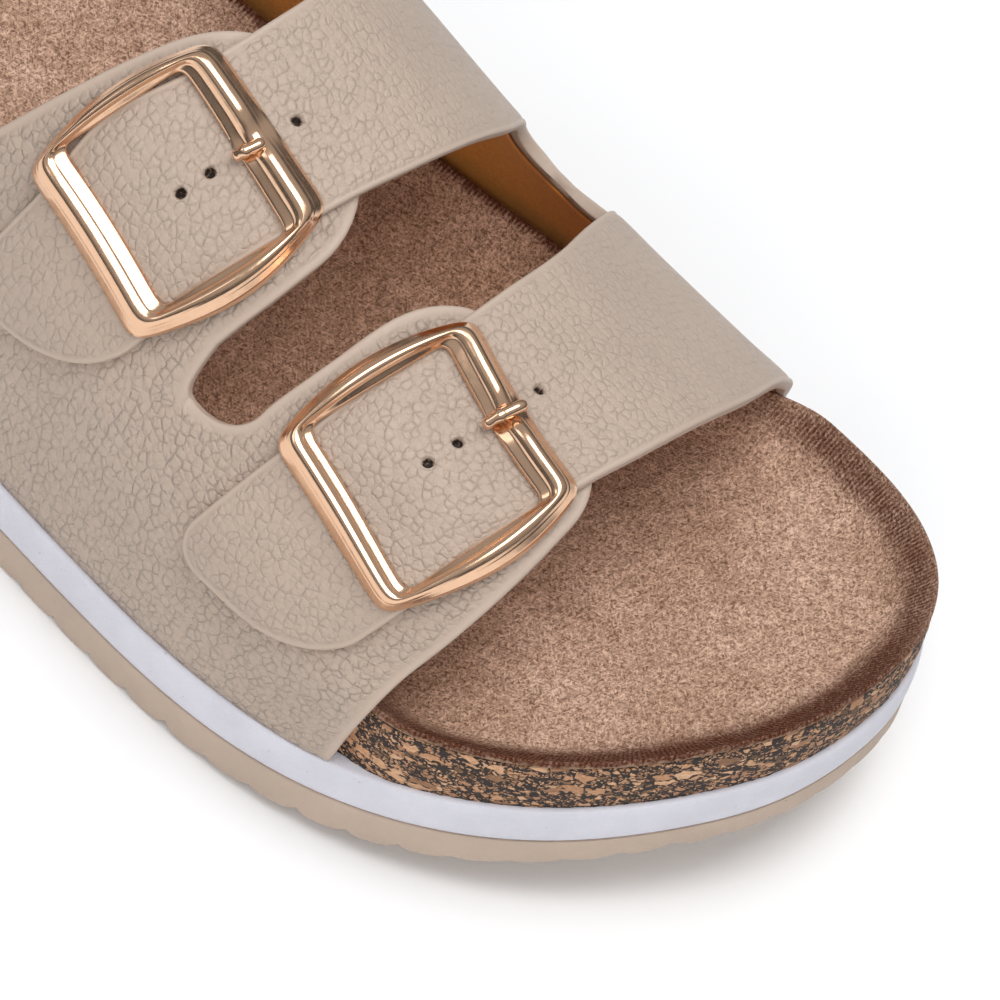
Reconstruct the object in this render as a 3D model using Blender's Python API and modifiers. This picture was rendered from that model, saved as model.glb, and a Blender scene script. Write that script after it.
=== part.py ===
"""Two-strap footbed slide sandal for the right foot.

Metres. +X to the toe, +Y to the inner side of the foot, +Z up, floor at zero.
The sole layers are rings around one closed outline. The upper is wrapped on an arch
surface that takes a station x in millimetres and an angle from the outer feather edge
(0 degrees) over the instep (90) to the inner feather edge (180).
"""
import bmesh
import bpy
import numpy as np

MM = 0.001

# Layer heights on the flat of the sole, in millimetres
OUTSOLE_TOP = 5.6
MIDSOLE_TOP = 12.1
JOINT_GAP = 0.3
SOCK_THICKNESS = 1.2
TOE_SPRING_START = 48.0
TOE_SPRING_RUN = 82.0
TOE_SPRING_RISE = 12.7

# Upper, in millimetres
WALL = 2.0
STRAP_WALL = 1.9
STRAP_SINK = 0.2
STRAP_DROP = (90.0, 130.0)
FEATHER_INSET = 0.7
FEATHER_Z = MIDSOLE_TOP + JOINT_GAP
BAND_COLUMNS = 8

# Tread, in millimetres; groove stations run from the first to the last by the pitch
SCALLOP_COUNT = 84
SCALLOP_DEPTH = 1.3
SCALLOP_REACH = 3.5
SCALLOP_WAVE = (0.0, 0.15, 1.0)
GROOVE_WIDTH = 3.0
GROOVE_DEPTH = 1.8
GROOVE_END = 9.0
HEEL_GROOVES = {"first": -104.0, "last": -49.0, "pitch": 11.0}
FOREFOOT_GROOVES = {"first": -6.0, "last": 44.0, "pitch": 10.0}
EDGE_ROUND = 0.6

# Buckle section, in millimetres
BAR_HEIGHT = 2.6
SIDE_BAR_HEIGHT = 1.9
BUCKLE_LIFT = STRAP_WALL + JOINT_GAP
BAR_POINTS = 10
LOOP_STEPS = 64
OUTER_BLUR = 6
WINDOW_BLUR = 5
HEIGHT_BLUR = 12
BAR_PROFILE = ((0.0, 0.0), (0.0, 0.3), (0.22, 0.72), (0.47, 1.0), (0.73, 0.72), (1.0, 0.2), (1.0, 0.0))
NOTCH_DEPTH = 1.1
NOTCH_SHARE = 0.1
PRONG_RADIUS = 0.85
PRONG_CLEAR = 0.25
PRONG_DIP = 0.4
PRONG_SIDES = 8
PRONG_TAPER = (0.01, 0.8, 1.0, 1.0, 1.0, 1.0, 1.0, 0.75, 0.01)

# Colour, roughness and metallic value of each finish
FINISH = {
    "outsole": ((0.50, 0.40, 0.31, 1.0), 0.75, 0.0),
    "midsole": ((0.72, 0.71, 0.78, 1.0), 0.70, 0.0),
    "footbed": ((0.25, 0.18, 0.13, 1.0), 0.85, 0.0),
    "insole": ((0.43, 0.27, 0.19, 1.0), 0.90, 0.0),
    "upper": ((0.52, 0.43, 0.33, 1.0), 0.55, 0.0),
    "metal": ((0.80, 0.55, 0.42, 1.0), 0.18, 1.0),
}
SHARP_ANGLE = 40.0

# Outline of the sole seen from above: station, outer side, inner side
OUTLINE_COLUMNS = ("x", "outer", "inner")
OUTLINE = (
    (-116.0, -17.8, 19.5),
    (-100.0, -26.8, 29.0),
    (-80.0, -30.5, 33.0),
    (-55.0, -32.4, 34.2),
    (-30.0, -35.2, 35.6),
    (-2.0, -39.2, 38.1),
    (18.0, -41.8, 40.6),
    (38.0, -44.0, 43.1),
    (58.0, -45.2, 44.9),
    (78.0, -43.4, 45.0),
    (98.0, -35.3, 42.2),
    (108.0, -27.3, 38.9),
    (118.0, -14.3, 32.0),
    (123.3, -3.5, 23.5),
)
HEEL_END = (-125.5, 1.0)
TOE_END = (125.4, 11.0)

# Arch of the upper: station, crest height, crest place across, fullness of the inner side
ARCH_COLUMNS = ("x", "crest", "across", "full")
ARCH = (
    (-60.0, 90.0, 0.55, 2.30),
    (-42.0, 86.0, 0.55, 2.30),
    (-2.0, 75.0, 0.55, 2.30),
    (18.0, 69.0, 0.54, 2.25),
    (38.0, 61.5, 0.52, 2.10),
    (58.0, 55.0, 0.49, 2.00),
    (78.0, 50.5, 0.47, 2.00),
    (93.0, 48.0, 0.46, 2.00),
    (115.0, 44.0, 0.46, 2.00),
)

# Outer quarter: angle, rear edge, slot rear edge, slot front edge, front edge
QUARTER_COLUMNS = ("angle", "rear", "slot_rear", "slot_front", "front")
QUARTER = (
    (0.0, -20.0, 42.6, 42.6, 82.0),
    (12.0, -13.5, 42.6, 42.6, 83.2),
    (25.0, -6.0, 42.6, 42.6, 84.8),
    (38.0, 0.4, 39.6, 49.0, 87.0),
    (50.0, 5.2, 41.2, 51.1, 88.2),
    (60.0, 8.7, 42.8, 52.8, 88.6),
    (70.0, 12.0, 43.8, 54.0, 88.4),
    (85.0, 16.6, 44.4, 55.9, 87.6),
)
QUARTER_ROWS = (0.0, 4.0, 9.0, 15.0, 21.0, 27.0, 33.0, 36.0)
TAB_ROWS = (52.0, 57.0, 62.0, 66.5)
SLOT_START = 38.4
SLOT_START_RUN = 9.0
SLOT_START_X = 42.6
SLOT_ROUND = {"rear": 4.0, "front": 2.0}
TAB_END = {"rear": 85.0, "front": 88.0}
# Run in degrees and width of the round corners at the tabs' rear and front edges
TAB_CORNERS = ((16.0, 6.0), (16.0, 10.0))

# Inner quarter: angle, edges of the rear strap, edges of the front strap
STRAP_COLUMNS = ("angle", "rear_a", "rear_b", "front_a", "front_b")
STRAP = (
    (20.0, 7.5, 29.0, 50.7, 75.7),
    (40.0, 11.3, 33.4, 54.8, 80.4),
    (60.0, 14.6, 37.2, 58.4, 83.2),
    (80.0, 17.8, 40.6, 60.2, 86.0),
    (92.0, 18.5, 42.2, 60.5, 87.4),
    (108.0, 18.0, 43.0, 60.0, 88.1),
    (122.0, 15.2, 42.6, 57.9, 87.9),
    (140.0, 5.5, 39.8, 54.9, 86.3),
    (160.0, -8.0, 36.2, 51.4, 84.0),
    (180.0, -20.0, 32.5, 48.0, 81.5),
)
STRAP_ROWS = {"first": 40.0, "last": 142.0, "pitch": 6.0}
CLOSING_ROWS = (0.3, 0.55, 0.75, 0.88, 0.96, 1.0)
FEATHER_ROWS = (156.0, 161.0, 166.0, 171.0, 175.5, 180.0)
SLOT_END = 151.5
SLOT_END_RUN = 5.5
SLOT_END_X = 45.5
TAIL_END = {"rear": 21.8, "front": 19.6}
# Run in degrees and width of the round corners at each tail's rear and front edges
TAIL_CORNERS = {"rear": ((7.0, 5.0), (15.0, 16.0)), "front": ((7.0, 5.6), (10.5, 11.0))}
# Leather pressed out over the footbed's rim: stations, push at the feather edge and at the rim
PRESS_RUN = (64.0, 82.0)
PRESS_FOOT = 0.5
PRESS_RIM = 1.3

# Footbed: station, floor height, outer rim, inner rim, where the rim slope starts
FOOTBED_COLUMNS = ("x", "floor", "outer", "inner", "slope")
FOOTBED = (
    (-126.0, 22.5, 34.0, 34.0, 0.50),
    (-90.0, 21.0, 33.0, 33.5, 0.48),
    (-50.0, 20.5, 28.0, 31.0, 0.50),
    (-10.0, 19.0, 23.0, 26.4, 0.55),
    (30.0, 17.0, 22.6, 22.4, 0.66),
    (60.0, 17.0, 23.4, 22.2, 0.76),
    (88.0, 17.8, 23.4, 22.2, 0.80),
    (104.0, 18.2, 21.8, 22.5, 0.81),
    (126.0, 18.4, 21.9, 22.2, 0.81),
)
RIM_CLIMB = 1.35
TOP_FRACTIONS = (0.0, 0.42, 0.66, 0.80, 0.89, 0.95, 1.0)
RING_POINTS = 84
RIM_SIDE = 30.0
EDGE_BARE = 0.85
EDGE_WRAPPED = 4.0
EDGE_LEAN = 1.5
WRAP_REAR = (-38.0, -24.0)
WRAP_FRONT = (77.0, 93.0)

# Buckles: stations and angles of the corners, outer-rear, inner-rear, inner-front, outer-front
BUCKLE_OUTER = {
    "rear": ((8.4, 40.4), (15.8, 74.8), (39.6, 74.3), (32.6, 37.6)),
    "front": ((54.5, 45.4), (61.2, 84.4), (86.2, 77.0), (78.8, 36.6)),
}
BUCKLE_WINDOW = {
    "rear": ((10.2, 45.3), (15.2, 68.8), (38.9, 67.8), (33.4, 43.2)),
    "front": ((56.4, 51.2), (60.9, 77.8), (84.6, 70.8), (79.8, 42.5)),
}
# Outward bow of the rear and the front side bar, and of the window's
BUCKLE_BOW = {"rear": (1.8, 4.0), "front": (2.3, 3.8)}
WINDOW_BOW = (0.0, 0.3)
PRONG_LINES = {
    "rear": ((27.2, 66.1), (28.7, 72.0)),
    "front": ((72.2, 72.3), (73.8, 80.3)),
}


def column(table, columns, name):
    """One named column of a table as an array."""
    return np.array([row[columns.index(name)] for row in table], dtype=float)


def smooth(x, xs, ys):
    """Cubic curve through table points, level beyond both ends."""
    x = np.asarray(x, dtype=float)
    slope = np.gradient(ys, xs)
    k = np.clip(np.searchsorted(xs, x, side="right") - 1, 0, len(xs) - 2)
    run = xs[k + 1] - xs[k]
    t = np.clip((x - xs[k]) / run, 0.0, 1.0)
    start = (2 * t**3 - 3 * t**2 + 1) * ys[k] + (t**3 - 2 * t**2 + t) * run * slope[k]
    end = (3 * t**2 - 2 * t**3) * ys[k + 1] + (t**3 - t**2) * run * slope[k + 1]
    return start + end


def table_curve(table, columns, key, name):
    """Function of one table column against another."""
    xs = column(table, columns, key)
    ys = column(table, columns, name)
    return lambda x: smooth(x, xs, ys)


def ease(x, low, high):
    """Smooth step from zero at low to one at high."""
    t = np.clip((np.asarray(x, dtype=float) - low) / (high - low), 0.0, 1.0)
    return t * t * (3.0 - 2.0 * t)


def closed_spline(points, count):
    """Even samples of the periodic cubic spline through a ring of points."""
    ring = np.vstack([points, points[:1]])
    dist = np.concatenate([[0.0], np.cumsum(np.linalg.norm(np.diff(ring, axis=0), axis=1))])
    gap = np.diff(dist)
    size = len(points)
    before = np.roll(gap, 1)
    eye = np.eye(size)
    matrix = eye * (2 * (before + gap))[:, None]
    matrix = matrix + np.roll(eye, 1, axis=1) * gap[:, None] + np.roll(eye, -1, axis=1) * before[:, None]
    rise = np.diff(ring, axis=0) / gap[:, None]
    bend = np.linalg.solve(matrix, 6 * (rise - np.roll(rise, 1, axis=0)))
    bend = np.vstack([bend, bend[:1]])
    t = np.linspace(0.0, dist[-1], count, endpoint=False)
    k = np.clip(np.searchsorted(dist, t, side="right") - 1, 0, size - 1)
    a = (dist[k + 1] - t)[:, None]
    b = (t - dist[k])[:, None]
    h = gap[k][:, None]
    curve = (bend[k] * a**3 + bend[k + 1] * b**3) / (6 * h)
    return curve + (ring[k] / h - bend[k] * h / 6) * a + (ring[k + 1] / h - bend[k + 1] * h / 6) * b


def outline_points():
    """Ring of outline points: inner side from heel to toe, then outer side back."""
    x = column(OUTLINE, OUTLINE_COLUMNS, "x")
    inner = np.column_stack([x, column(OUTLINE, OUTLINE_COLUMNS, "inner")])
    outer = np.column_stack([x, column(OUTLINE, OUTLINE_COLUMNS, "outer")])[::-1]
    return np.vstack([[HEEL_END], inner, [TOE_END], outer])


DENSE_RING = closed_spline(outline_points(), 4000)
TOE_INDEX = int(np.argmax(DENSE_RING[:, 0]))


def side_of_sole(x, inner):
    """Distance of the outline from the centre line at a station, on the inner or outer side."""
    half = DENSE_RING[: TOE_INDEX + 1] if inner else DENSE_RING[TOE_INDEX:][::-1]
    order = np.argsort(half[:, 0])
    return np.interp(x, half[order, 0], half[order, 1])


def toe_spring(x):
    """Rise of every sole layer towards the toe."""
    t = np.clip((np.asarray(x, dtype=float) - TOE_SPRING_START) / TOE_SPRING_RUN, 0.0, None)
    return TOE_SPRING_RISE * t**2


ARCH_CREST = table_curve(ARCH, ARCH_COLUMNS, "x", "crest")
ARCH_ACROSS = table_curve(ARCH, ARCH_COLUMNS, "x", "across")
ARCH_FULL = table_curve(ARCH, ARCH_COLUMNS, "x", "full")


def arch(x, angle):
    """Point of the arch: half an ellipse across the sole, its crest moved by the table."""
    outer = side_of_sole(x, False) + FEATHER_INSET
    inner = side_of_sole(x, True) - FEATHER_INSET
    middle = outer + ARCH_ACROSS(x) * (inner - outer)
    base = FEATHER_Z + toe_spring(x)
    c = np.cos(np.radians(angle))
    s = np.abs(np.sin(np.radians(angle)))
    power = np.where(c > 0.0, 1.0, 2.0 / ARCH_FULL(x))
    reach = np.where(c > 0.0, middle - outer, inner - middle)
    y = middle - reach * np.sign(c) * np.abs(c) ** power
    z = base + (ARCH_CREST(x) - base) * s**power
    return np.stack([x + 0.0 * y, y, z], axis=-1)


def arch_normal(x, angle):
    """Outward normal of the arch from small steps along both parameters."""
    angle = np.clip(angle, 0.5, 179.5)
    along = arch(x + 0.2, angle) - arch(x - 0.2, angle)
    around = arch(x, angle + 0.3) - arch(x, angle - 0.3)
    normal = np.cross(along, around)
    return normal / np.linalg.norm(normal, axis=-1, keepdims=True)


def lifted(x, angle, lift):
    """Arch point moved out along its normal."""
    return arch(x, angle) + arch_normal(x, angle) * np.asarray(lift, dtype=float)[..., None]


def spread(rows):
    """Even values from first to last by the pitch."""
    return np.arange(rows["first"], rows["last"] + 0.5 * rows["pitch"], rows["pitch"])


def mesh_object(name, points, faces, finish, collection):
    """Object from millimetre points and faces, welded, with its own material."""
    mesh = bpy.data.meshes.new(name)
    mesh.from_pydata((np.asarray(points) * MM).tolist(), [], [tuple(int(i) for i in f) for f in faces])
    work = bmesh.new()
    work.from_mesh(mesh)
    bmesh.ops.remove_doubles(work, verts=work.verts, dist=0.00001)
    bmesh.ops.dissolve_degenerate(work, edges=work.edges, dist=0.00001)
    bmesh.ops.recalc_face_normals(work, faces=work.faces)
    work.to_mesh(mesh)
    work.free()
    mesh.shade_smooth()
    mesh.set_sharp_from_angle(angle=np.radians(SHARP_ANGLE))
    shape = bpy.data.objects.new(name, mesh)
    collection.objects.link(shape)
    colour, roughness, metallic = FINISH[finish]
    material = bpy.data.materials.new(name)
    material.use_nodes = True
    shader = material.node_tree.nodes["Principled BSDF"]
    shader.inputs["Base Color"].default_value = colour
    shader.inputs["Roughness"].default_value = roughness
    shader.inputs["Metallic"].default_value = metallic
    mesh.materials.append(material)
    return shape


def grid_faces(rows, columns, start=0, wrap=False):
    """Quads of a grid of points numbered row by row."""
    last = columns if wrap else columns - 1
    i, j = np.meshgrid(np.arange(rows - 1), np.arange(last), indexing="ij")
    n = (j + 1) % columns
    this_row = i * columns
    next_row = this_row + columns
    quads = np.stack([this_row + j, this_row + n, next_row + n, next_row + j], axis=-1)
    return quads.reshape(-1, 4) + start


def ring_normals(ring):
    """Outward normals of a ring that runs from the heel along the inner side."""
    step = np.roll(ring, -1, axis=0) - np.roll(ring, 1, axis=0)
    normal = np.column_stack([-step[:, 1], step[:, 0]])
    normal = normal / np.linalg.norm(normal, axis=1, keepdims=True)
    return normal


def spine_of(ring):
    """Centre-line point shared by each pair of ring points, kept clear of the round toe and heel."""
    count = len(ring)
    place = np.arange(count)
    middle = 0.5 * (ring + ring[-place])
    fold = np.minimum(place, count - place)
    return middle[np.clip(fold, int(0.08 * count), int(0.41 * count))]


def ring_solid(name, collection, bands):
    """Closed solid from a list of rings of points, first and last ring closed on the spine."""
    faces = grid_faces(len(bands), len(bands[0]), wrap=True)
    return mesh_object(name, np.vstack(bands), faces, name, collection)


def layer_rings(ring, fractions, height):
    """Rings between the spine and a ring; height is a function of the points and the fraction."""
    spine = spine_of(ring)
    out = []
    for f in fractions:
        flat = spine + (ring - spine) * f
        out.append(np.column_stack([flat, height(flat, f)]))
    return out


def sprung(z):
    """Height function of a level face that follows the toe spring."""
    return lambda flat, f: z + toe_spring(flat[:, 0])


def build_outsole(collection, cutters):
    """Outsole with a scalloped lower edge and cross grooves under heel and forefoot."""
    ring = closed_spline(outline_points(), SCALLOP_COUNT * len(SCALLOP_WAVE))
    wave = np.tile(np.array(SCALLOP_WAVE), SCALLOP_COUNT) * SCALLOP_DEPTH
    below = layer_rings(ring - ring_normals(ring) * SCALLOP_REACH, (0.0, 0.5, 1.0), sprung(0.0))
    edge = np.column_stack([ring, toe_spring(ring[:, 0]) + wave])
    above = layer_rings(ring, (1.0, 0.5, 0.0), sprung(OUTSOLE_TOP))
    shape = ring_solid("outsole", collection, below + [edge] + above)
    add_boolean(shape, build_grooves(cutters), "DIFFERENCE")
    return shape


def build_grooves(cutters):
    """Boxes across the sole, one for each tread groove, in one cutter."""
    work = bmesh.new()
    for x in np.concatenate([spread(HEEL_GROOVES), spread(FOREFOOT_GROOVES)]):
        low = side_of_sole(x, False) + GROOVE_END
        high = side_of_sole(x, True) - GROOVE_END
        box = bmesh.ops.create_cube(work, size=MM)["verts"]
        bmesh.ops.scale(work, verts=box, vec=(GROOVE_WIDTH, high - low, 2.0 * GROOVE_DEPTH))
        bmesh.ops.translate(work, verts=box, vec=(x * MM, 0.5 * (low + high) * MM, 0.0))
    mesh = bpy.data.meshes.new("tread_grooves")
    work.to_mesh(mesh)
    work.free()
    grooves = bpy.data.objects.new("tread_grooves", mesh)
    cutters.objects.link(grooves)
    return grooves


def add_boolean(shape, other, operation):
    """Exact boolean with a part kept in the cutters' collection."""
    other.hide_render = True
    other.display_type = "WIRE"
    step = shape.modifiers.new(other.name, "BOOLEAN")
    step.operation = operation
    step.solver = "EXACT"
    step.object = other


def build_midsole(collection):
    """Foam layer of even height with the outline of the outsole."""
    ring = closed_spline(outline_points(), RING_POINTS)
    edge = ring - ring_normals(ring) * EDGE_ROUND
    low = OUTSOLE_TOP + JOINT_GAP
    rings = layer_rings(edge, (0.0, 0.5, 1.0), sprung(low))
    rings += layer_rings(ring, (1.0,), sprung(low + EDGE_ROUND))
    rings += layer_rings(ring, (1.0,), sprung(MIDSOLE_TOP - EDGE_ROUND))
    rings += layer_rings(edge, (1.0, 0.5, 0.0), sprung(MIDSOLE_TOP))
    return ring_solid("midsole", collection, rings)


FOOTBED_FLOOR = table_curve(FOOTBED, FOOTBED_COLUMNS, "x", "floor")
FOOTBED_OUTER = table_curve(FOOTBED, FOOTBED_COLUMNS, "x", "outer")
FOOTBED_INNER = table_curve(FOOTBED, FOOTBED_COLUMNS, "x", "inner")
FOOTBED_SLOPE = table_curve(FOOTBED, FOOTBED_COLUMNS, "x", "slope")


def wrapped(x):
    """One where the upper wraps the footbed's side, zero at the bare toe and heel."""
    return ease(x, *WRAP_REAR) * (1.0 - ease(x, *WRAP_FRONT))


def footbed_ring(lean):
    """Ring of the footbed's edge, drawn in under the upper; lean is the part of the inward lean."""
    ring = closed_spline(outline_points(), RING_POINTS)
    inset = EDGE_BARE + (EDGE_WRAPPED - EDGE_BARE + EDGE_LEAN * lean) * wrapped(ring[:, 0])
    return ring - ring_normals(ring) * inset[:, None]


def footbed_top(flat, f):
    """Height of the sock's upper face: a level floor that climbs to the rim."""
    x = flat[:, 0]
    spine = 0.5 * (side_of_sole(x, False) + side_of_sole(x, True))
    across = np.clip((flat[:, 1] - spine) / RIM_SIDE, -1.0, 1.0)
    rim = FOOTBED_OUTER(x) + (FOOTBED_INNER(x) - FOOTBED_OUTER(x)) * (0.5 + 0.5 * across)
    slope = FOOTBED_SLOPE(x)
    climb = np.clip((f - slope) / (1.0 - slope), 0.0, 1.0) ** RIM_CLIMB
    return FOOTBED_FLOOR(x) + (rim - FOOTBED_FLOOR(x)) * climb + toe_spring(x)


def build_footbed(collection):
    """Cork footbed with arch, heel cup and raised toe rim."""
    drop = SOCK_THICKNESS + JOINT_GAP
    low = layer_rings(footbed_ring(0.0), (0.0, 0.5, 1.0), sprung(MIDSOLE_TOP + JOINT_GAP))
    top = layer_rings(footbed_ring(1.0), TOP_FRACTIONS[::-1], lambda p, f: footbed_top(p, f) - drop)
    return ring_solid("footbed", collection, low + top)


def build_insole(collection):
    """Suede sock of even thickness over the whole footbed."""
    ring = footbed_ring(1.0)
    low = layer_rings(ring, TOP_FRACTIONS, lambda p, f: footbed_top(p, f) - SOCK_THICKNESS)
    top = layer_rings(ring, TOP_FRACTIONS[::-1], footbed_top)
    return ring_solid("insole", collection, low + top)


def end_rows(end, run, count=6):
    """Angles of a rounded end, close together where it closes; a negative run lies below the end."""
    turn = np.radians(np.linspace(0.0, 90.0, count))
    return np.sort(end + run * (1.0 - np.sin(turn)))


def end_trim(angles, end, run, width):
    """Side trim of a rounded end: a quarter ellipse of the run and the width."""
    away = 1.0 - np.clip(np.abs(angles - end) / run, 0.0, 1.0)
    return width * (1.0 - np.sqrt(1.0 - away**2))


def rim_press(x, angle):
    """Push of the leather over the footbed's rim near its front edge: most at the rim's height."""
    low = np.minimum(angle, 180.0 - angle)
    rim = PRESS_RIM * np.exp(-(((low - 18.0) / 9.0) ** 2))
    return ease(x, *PRESS_RUN) * (rim + PRESS_FOOT * (1.0 - ease(low, 10.0, 34.0)))


def add_band(points, faces, angles, low, high, lift):
    """Appends a grid of lifted arch points between two edges that are given for each angle."""
    share = np.linspace(0.0, 1.0, BAND_COLUMNS)
    x = low[:, None] + (high - low)[:, None] * share[None]
    angle = np.repeat(angles[:, None], BAND_COLUMNS, axis=1)
    start = sum(len(p) for p in points)
    points.append(lifted(x, angle, lift(x, angle)).reshape(-1, 3))
    faces.append(grid_faces(len(angles), BAND_COLUMNS, start))


def build_outer_quarter(collection):
    """Outer quarter with its two tabs, an open sheet on the arch."""
    edge = {n: table_curve(QUARTER, QUARTER_COLUMNS, "angle", n) for n in QUARTER_COLUMNS[1:]}
    turn = np.radians(np.linspace(0.0, 90.0, 5))
    slot_rows = SLOT_START + SLOT_START_RUN * (1.0 - np.cos(turn))
    points = []
    faces = []
    for side in ("rear", "front"):
        angles = np.concatenate([QUARTER_ROWS, slot_rows, TAB_ROWS, end_rows(TAB_END[side], -TAB_CORNERS[0][0])])
        low_trim, high_trim = [end_trim(angles, TAB_END[side], *corner) for corner in TAB_CORNERS]
        start = np.clip((angles - SLOT_START) / SLOT_START_RUN, 0.0, 1.0)
        power = SLOT_ROUND[side]
        opening = (1.0 - (1.0 - start) ** power) ** (1.0 / power)
        open_edge = edge["slot_" + side](np.maximum(angles, SLOT_START + SLOT_START_RUN))
        slot = SLOT_START_X + (open_edge - SLOT_START_X) * opening
        low = edge["rear"](angles) if side == "rear" else slot
        high = slot if side == "rear" else edge["front"](angles)
        add_band(points, faces, angles, low + low_trim, high - high_trim, rim_press)
    sheet = mesh_object("upper", np.vstack(points), np.vstack(faces), "upper", collection)
    add_thickness(sheet, WALL, -1.0)
    return sheet


def strap_lift(x, angle):
    """Lift of the inner quarter: on top of the tabs, then down to the arch and over the rim on the inner side."""
    drop = STRAP_SINK + (WALL - STRAP_SINK) * ease(angle, *STRAP_DROP)
    return rim_press(x, np.maximum(angle, 90.0)) - drop


def build_inner_quarter(cutters):
    """Inner quarter with two straps that lie over the tabs and end in round-cornered tails."""
    edge = {n: table_curve(STRAP, STRAP_COLUMNS, "angle", n) for n in STRAP_COLUMNS[1:]}
    slot_close = SLOT_END - SLOT_END_RUN
    closing = slot_close + SLOT_END_RUN * np.array(CLOSING_ROWS)
    points = []
    faces = []
    for side, low_name, high_name in (("rear", "rear_a", "rear_b"), ("front", "front_a", "front_b")):
        tail = end_rows(TAIL_END[side], TAIL_CORNERS[side][1][0])
        angles = np.concatenate([tail, spread(STRAP_ROWS), closing, FEATHER_ROWS])
        low_trim, high_trim = [end_trim(angles, TAIL_END[side], *corner) for corner in TAIL_CORNERS[side]]
        close = np.clip((angles - slot_close) / SLOT_END_RUN, 0.0, 1.0)
        width = (1.0 - close**3) ** (1.0 / 3.0)
        low = edge[low_name](angles) + low_trim
        high = edge[high_name](angles) - high_trim
        if side == "rear":
            round_end = SLOT_END_X + (edge["rear_b"](slot_close) - SLOT_END_X) * width
            high = np.where(close > 0.0, round_end, high)
        else:
            round_end = SLOT_END_X + (edge["front_a"](slot_close) - SLOT_END_X) * width
            low = np.where(close > 0.0, round_end, low)
        add_band(points, faces, angles, low, high, strap_lift)
    sheet = mesh_object("inner_quarter", np.vstack(points), np.vstack(faces), "upper", cutters)
    add_thickness(sheet, STRAP_WALL + STRAP_SINK, 1.0)
    return sheet


def add_thickness(sheet, thickness, offset):
    """Wall of a leather sheet; offset one grows outward, minus one inward."""
    step = sheet.modifiers.new("wall", "SOLIDIFY")
    step.thickness = thickness * MM
    step.offset = offset
    step.use_even_offset = True


def face_outward(sheet):
    """Turns the sheet's faces so that the one nearest the crest looks up."""
    mesh = sheet.data
    crest = max(mesh.polygons, key=lambda p: p.center.z)
    if crest.normal.z < 0.0:
        mesh.flip_normals()


def build_upper(collection, cutters):
    """The whole upper: outer quarter and inner quarter joined where the straps cross."""
    outer = build_outer_quarter(collection)
    inner = build_inner_quarter(cutters)
    face_outward(outer)
    face_outward(inner)
    add_boolean(outer, inner, "UNION")
    return outer


def ring_blur(values, reach):
    """Weighted mean of each ring value with its neighbours, which rounds the corners."""
    weight = np.hanning(2 * reach + 3)[1:-1]
    total = 0.0 * values
    for shift, w in zip(range(-reach, reach + 1), weight):
        total = total + w * np.roll(values, shift, axis=0)
    return total / weight.sum()


def buckle_loop(corners, bows, reach):
    """Closed loop of stations and angles: straight sides with bowed side bars, the corners rounded by a blur."""
    corner = np.array(corners)
    k, step = np.divmod(np.arange(4 * LOOP_STEPS), LOOP_STEPS)
    t = step / LOOP_STEPS
    line = corner[k] + (corner[(k + 1) % 4] - corner[k]) * t[:, None]
    swing = np.sin(np.pi * t)
    line[:, 0] += np.where(k == 0, -bows[0] * swing, 0.0) + np.where(k == 2, bows[1] * swing, 0.0)
    return ring_blur(line, reach)


def bar_heights():
    """Height around a buckle: side bars lower than the cross bars, a notch for the prong in the inner one."""
    k, step = np.divmod(np.arange(4 * LOOP_STEPS), LOOP_STEPS)
    notch = np.where(k == 1, np.exp(-(((step / LOOP_STEPS - 0.5) / NOTCH_SHARE) ** 2)), 0.0)
    return ring_blur(np.where(k % 2 == 0, SIDE_BAR_HEIGHT, BAR_HEIGHT), HEIGHT_BLUR) - NOTCH_DEPTH * notch


def build_buckle(name, side, collection):
    """Curved frame: a domed bar section carried between the window's loop and the outer loop."""
    t = np.arange(BAR_POINTS) / BAR_POINTS
    t = 0.45 * t + 0.55 * (0.5 - 0.5 * np.cos(np.pi * t))
    pick = (np.arange(4)[:, None] * LOOP_STEPS + np.rint(t * LOOP_STEPS).astype(int)).ravel()
    outer = buckle_loop(BUCKLE_OUTER[side], BUCKLE_BOW[side], OUTER_BLUR)[pick]
    window = buckle_loop(BUCKLE_WINDOW[side], WINDOW_BOW, WINDOW_BLUR)[pick]
    height = bar_heights()[pick]
    lift = np.full(len(pick), BUCKLE_LIFT)
    far = lifted(outer[:, 0], outer[:, 1], lift)
    near = lifted(window[:, 0], window[:, 1], lift)
    middle = 0.5 * (outer + window)
    normal = arch_normal(middle[:, 0], middle[:, 1])
    rings = [near + (far - near) * u + normal * (height * v)[:, None] for u, v in BAR_PROFILE]
    points = np.vstack(rings + [rings[0]])
    faces = grid_faces(len(BAR_PROFILE) + 1, len(pick), wrap=True)
    return mesh_object(name, points, faces, "metal", collection)


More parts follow.
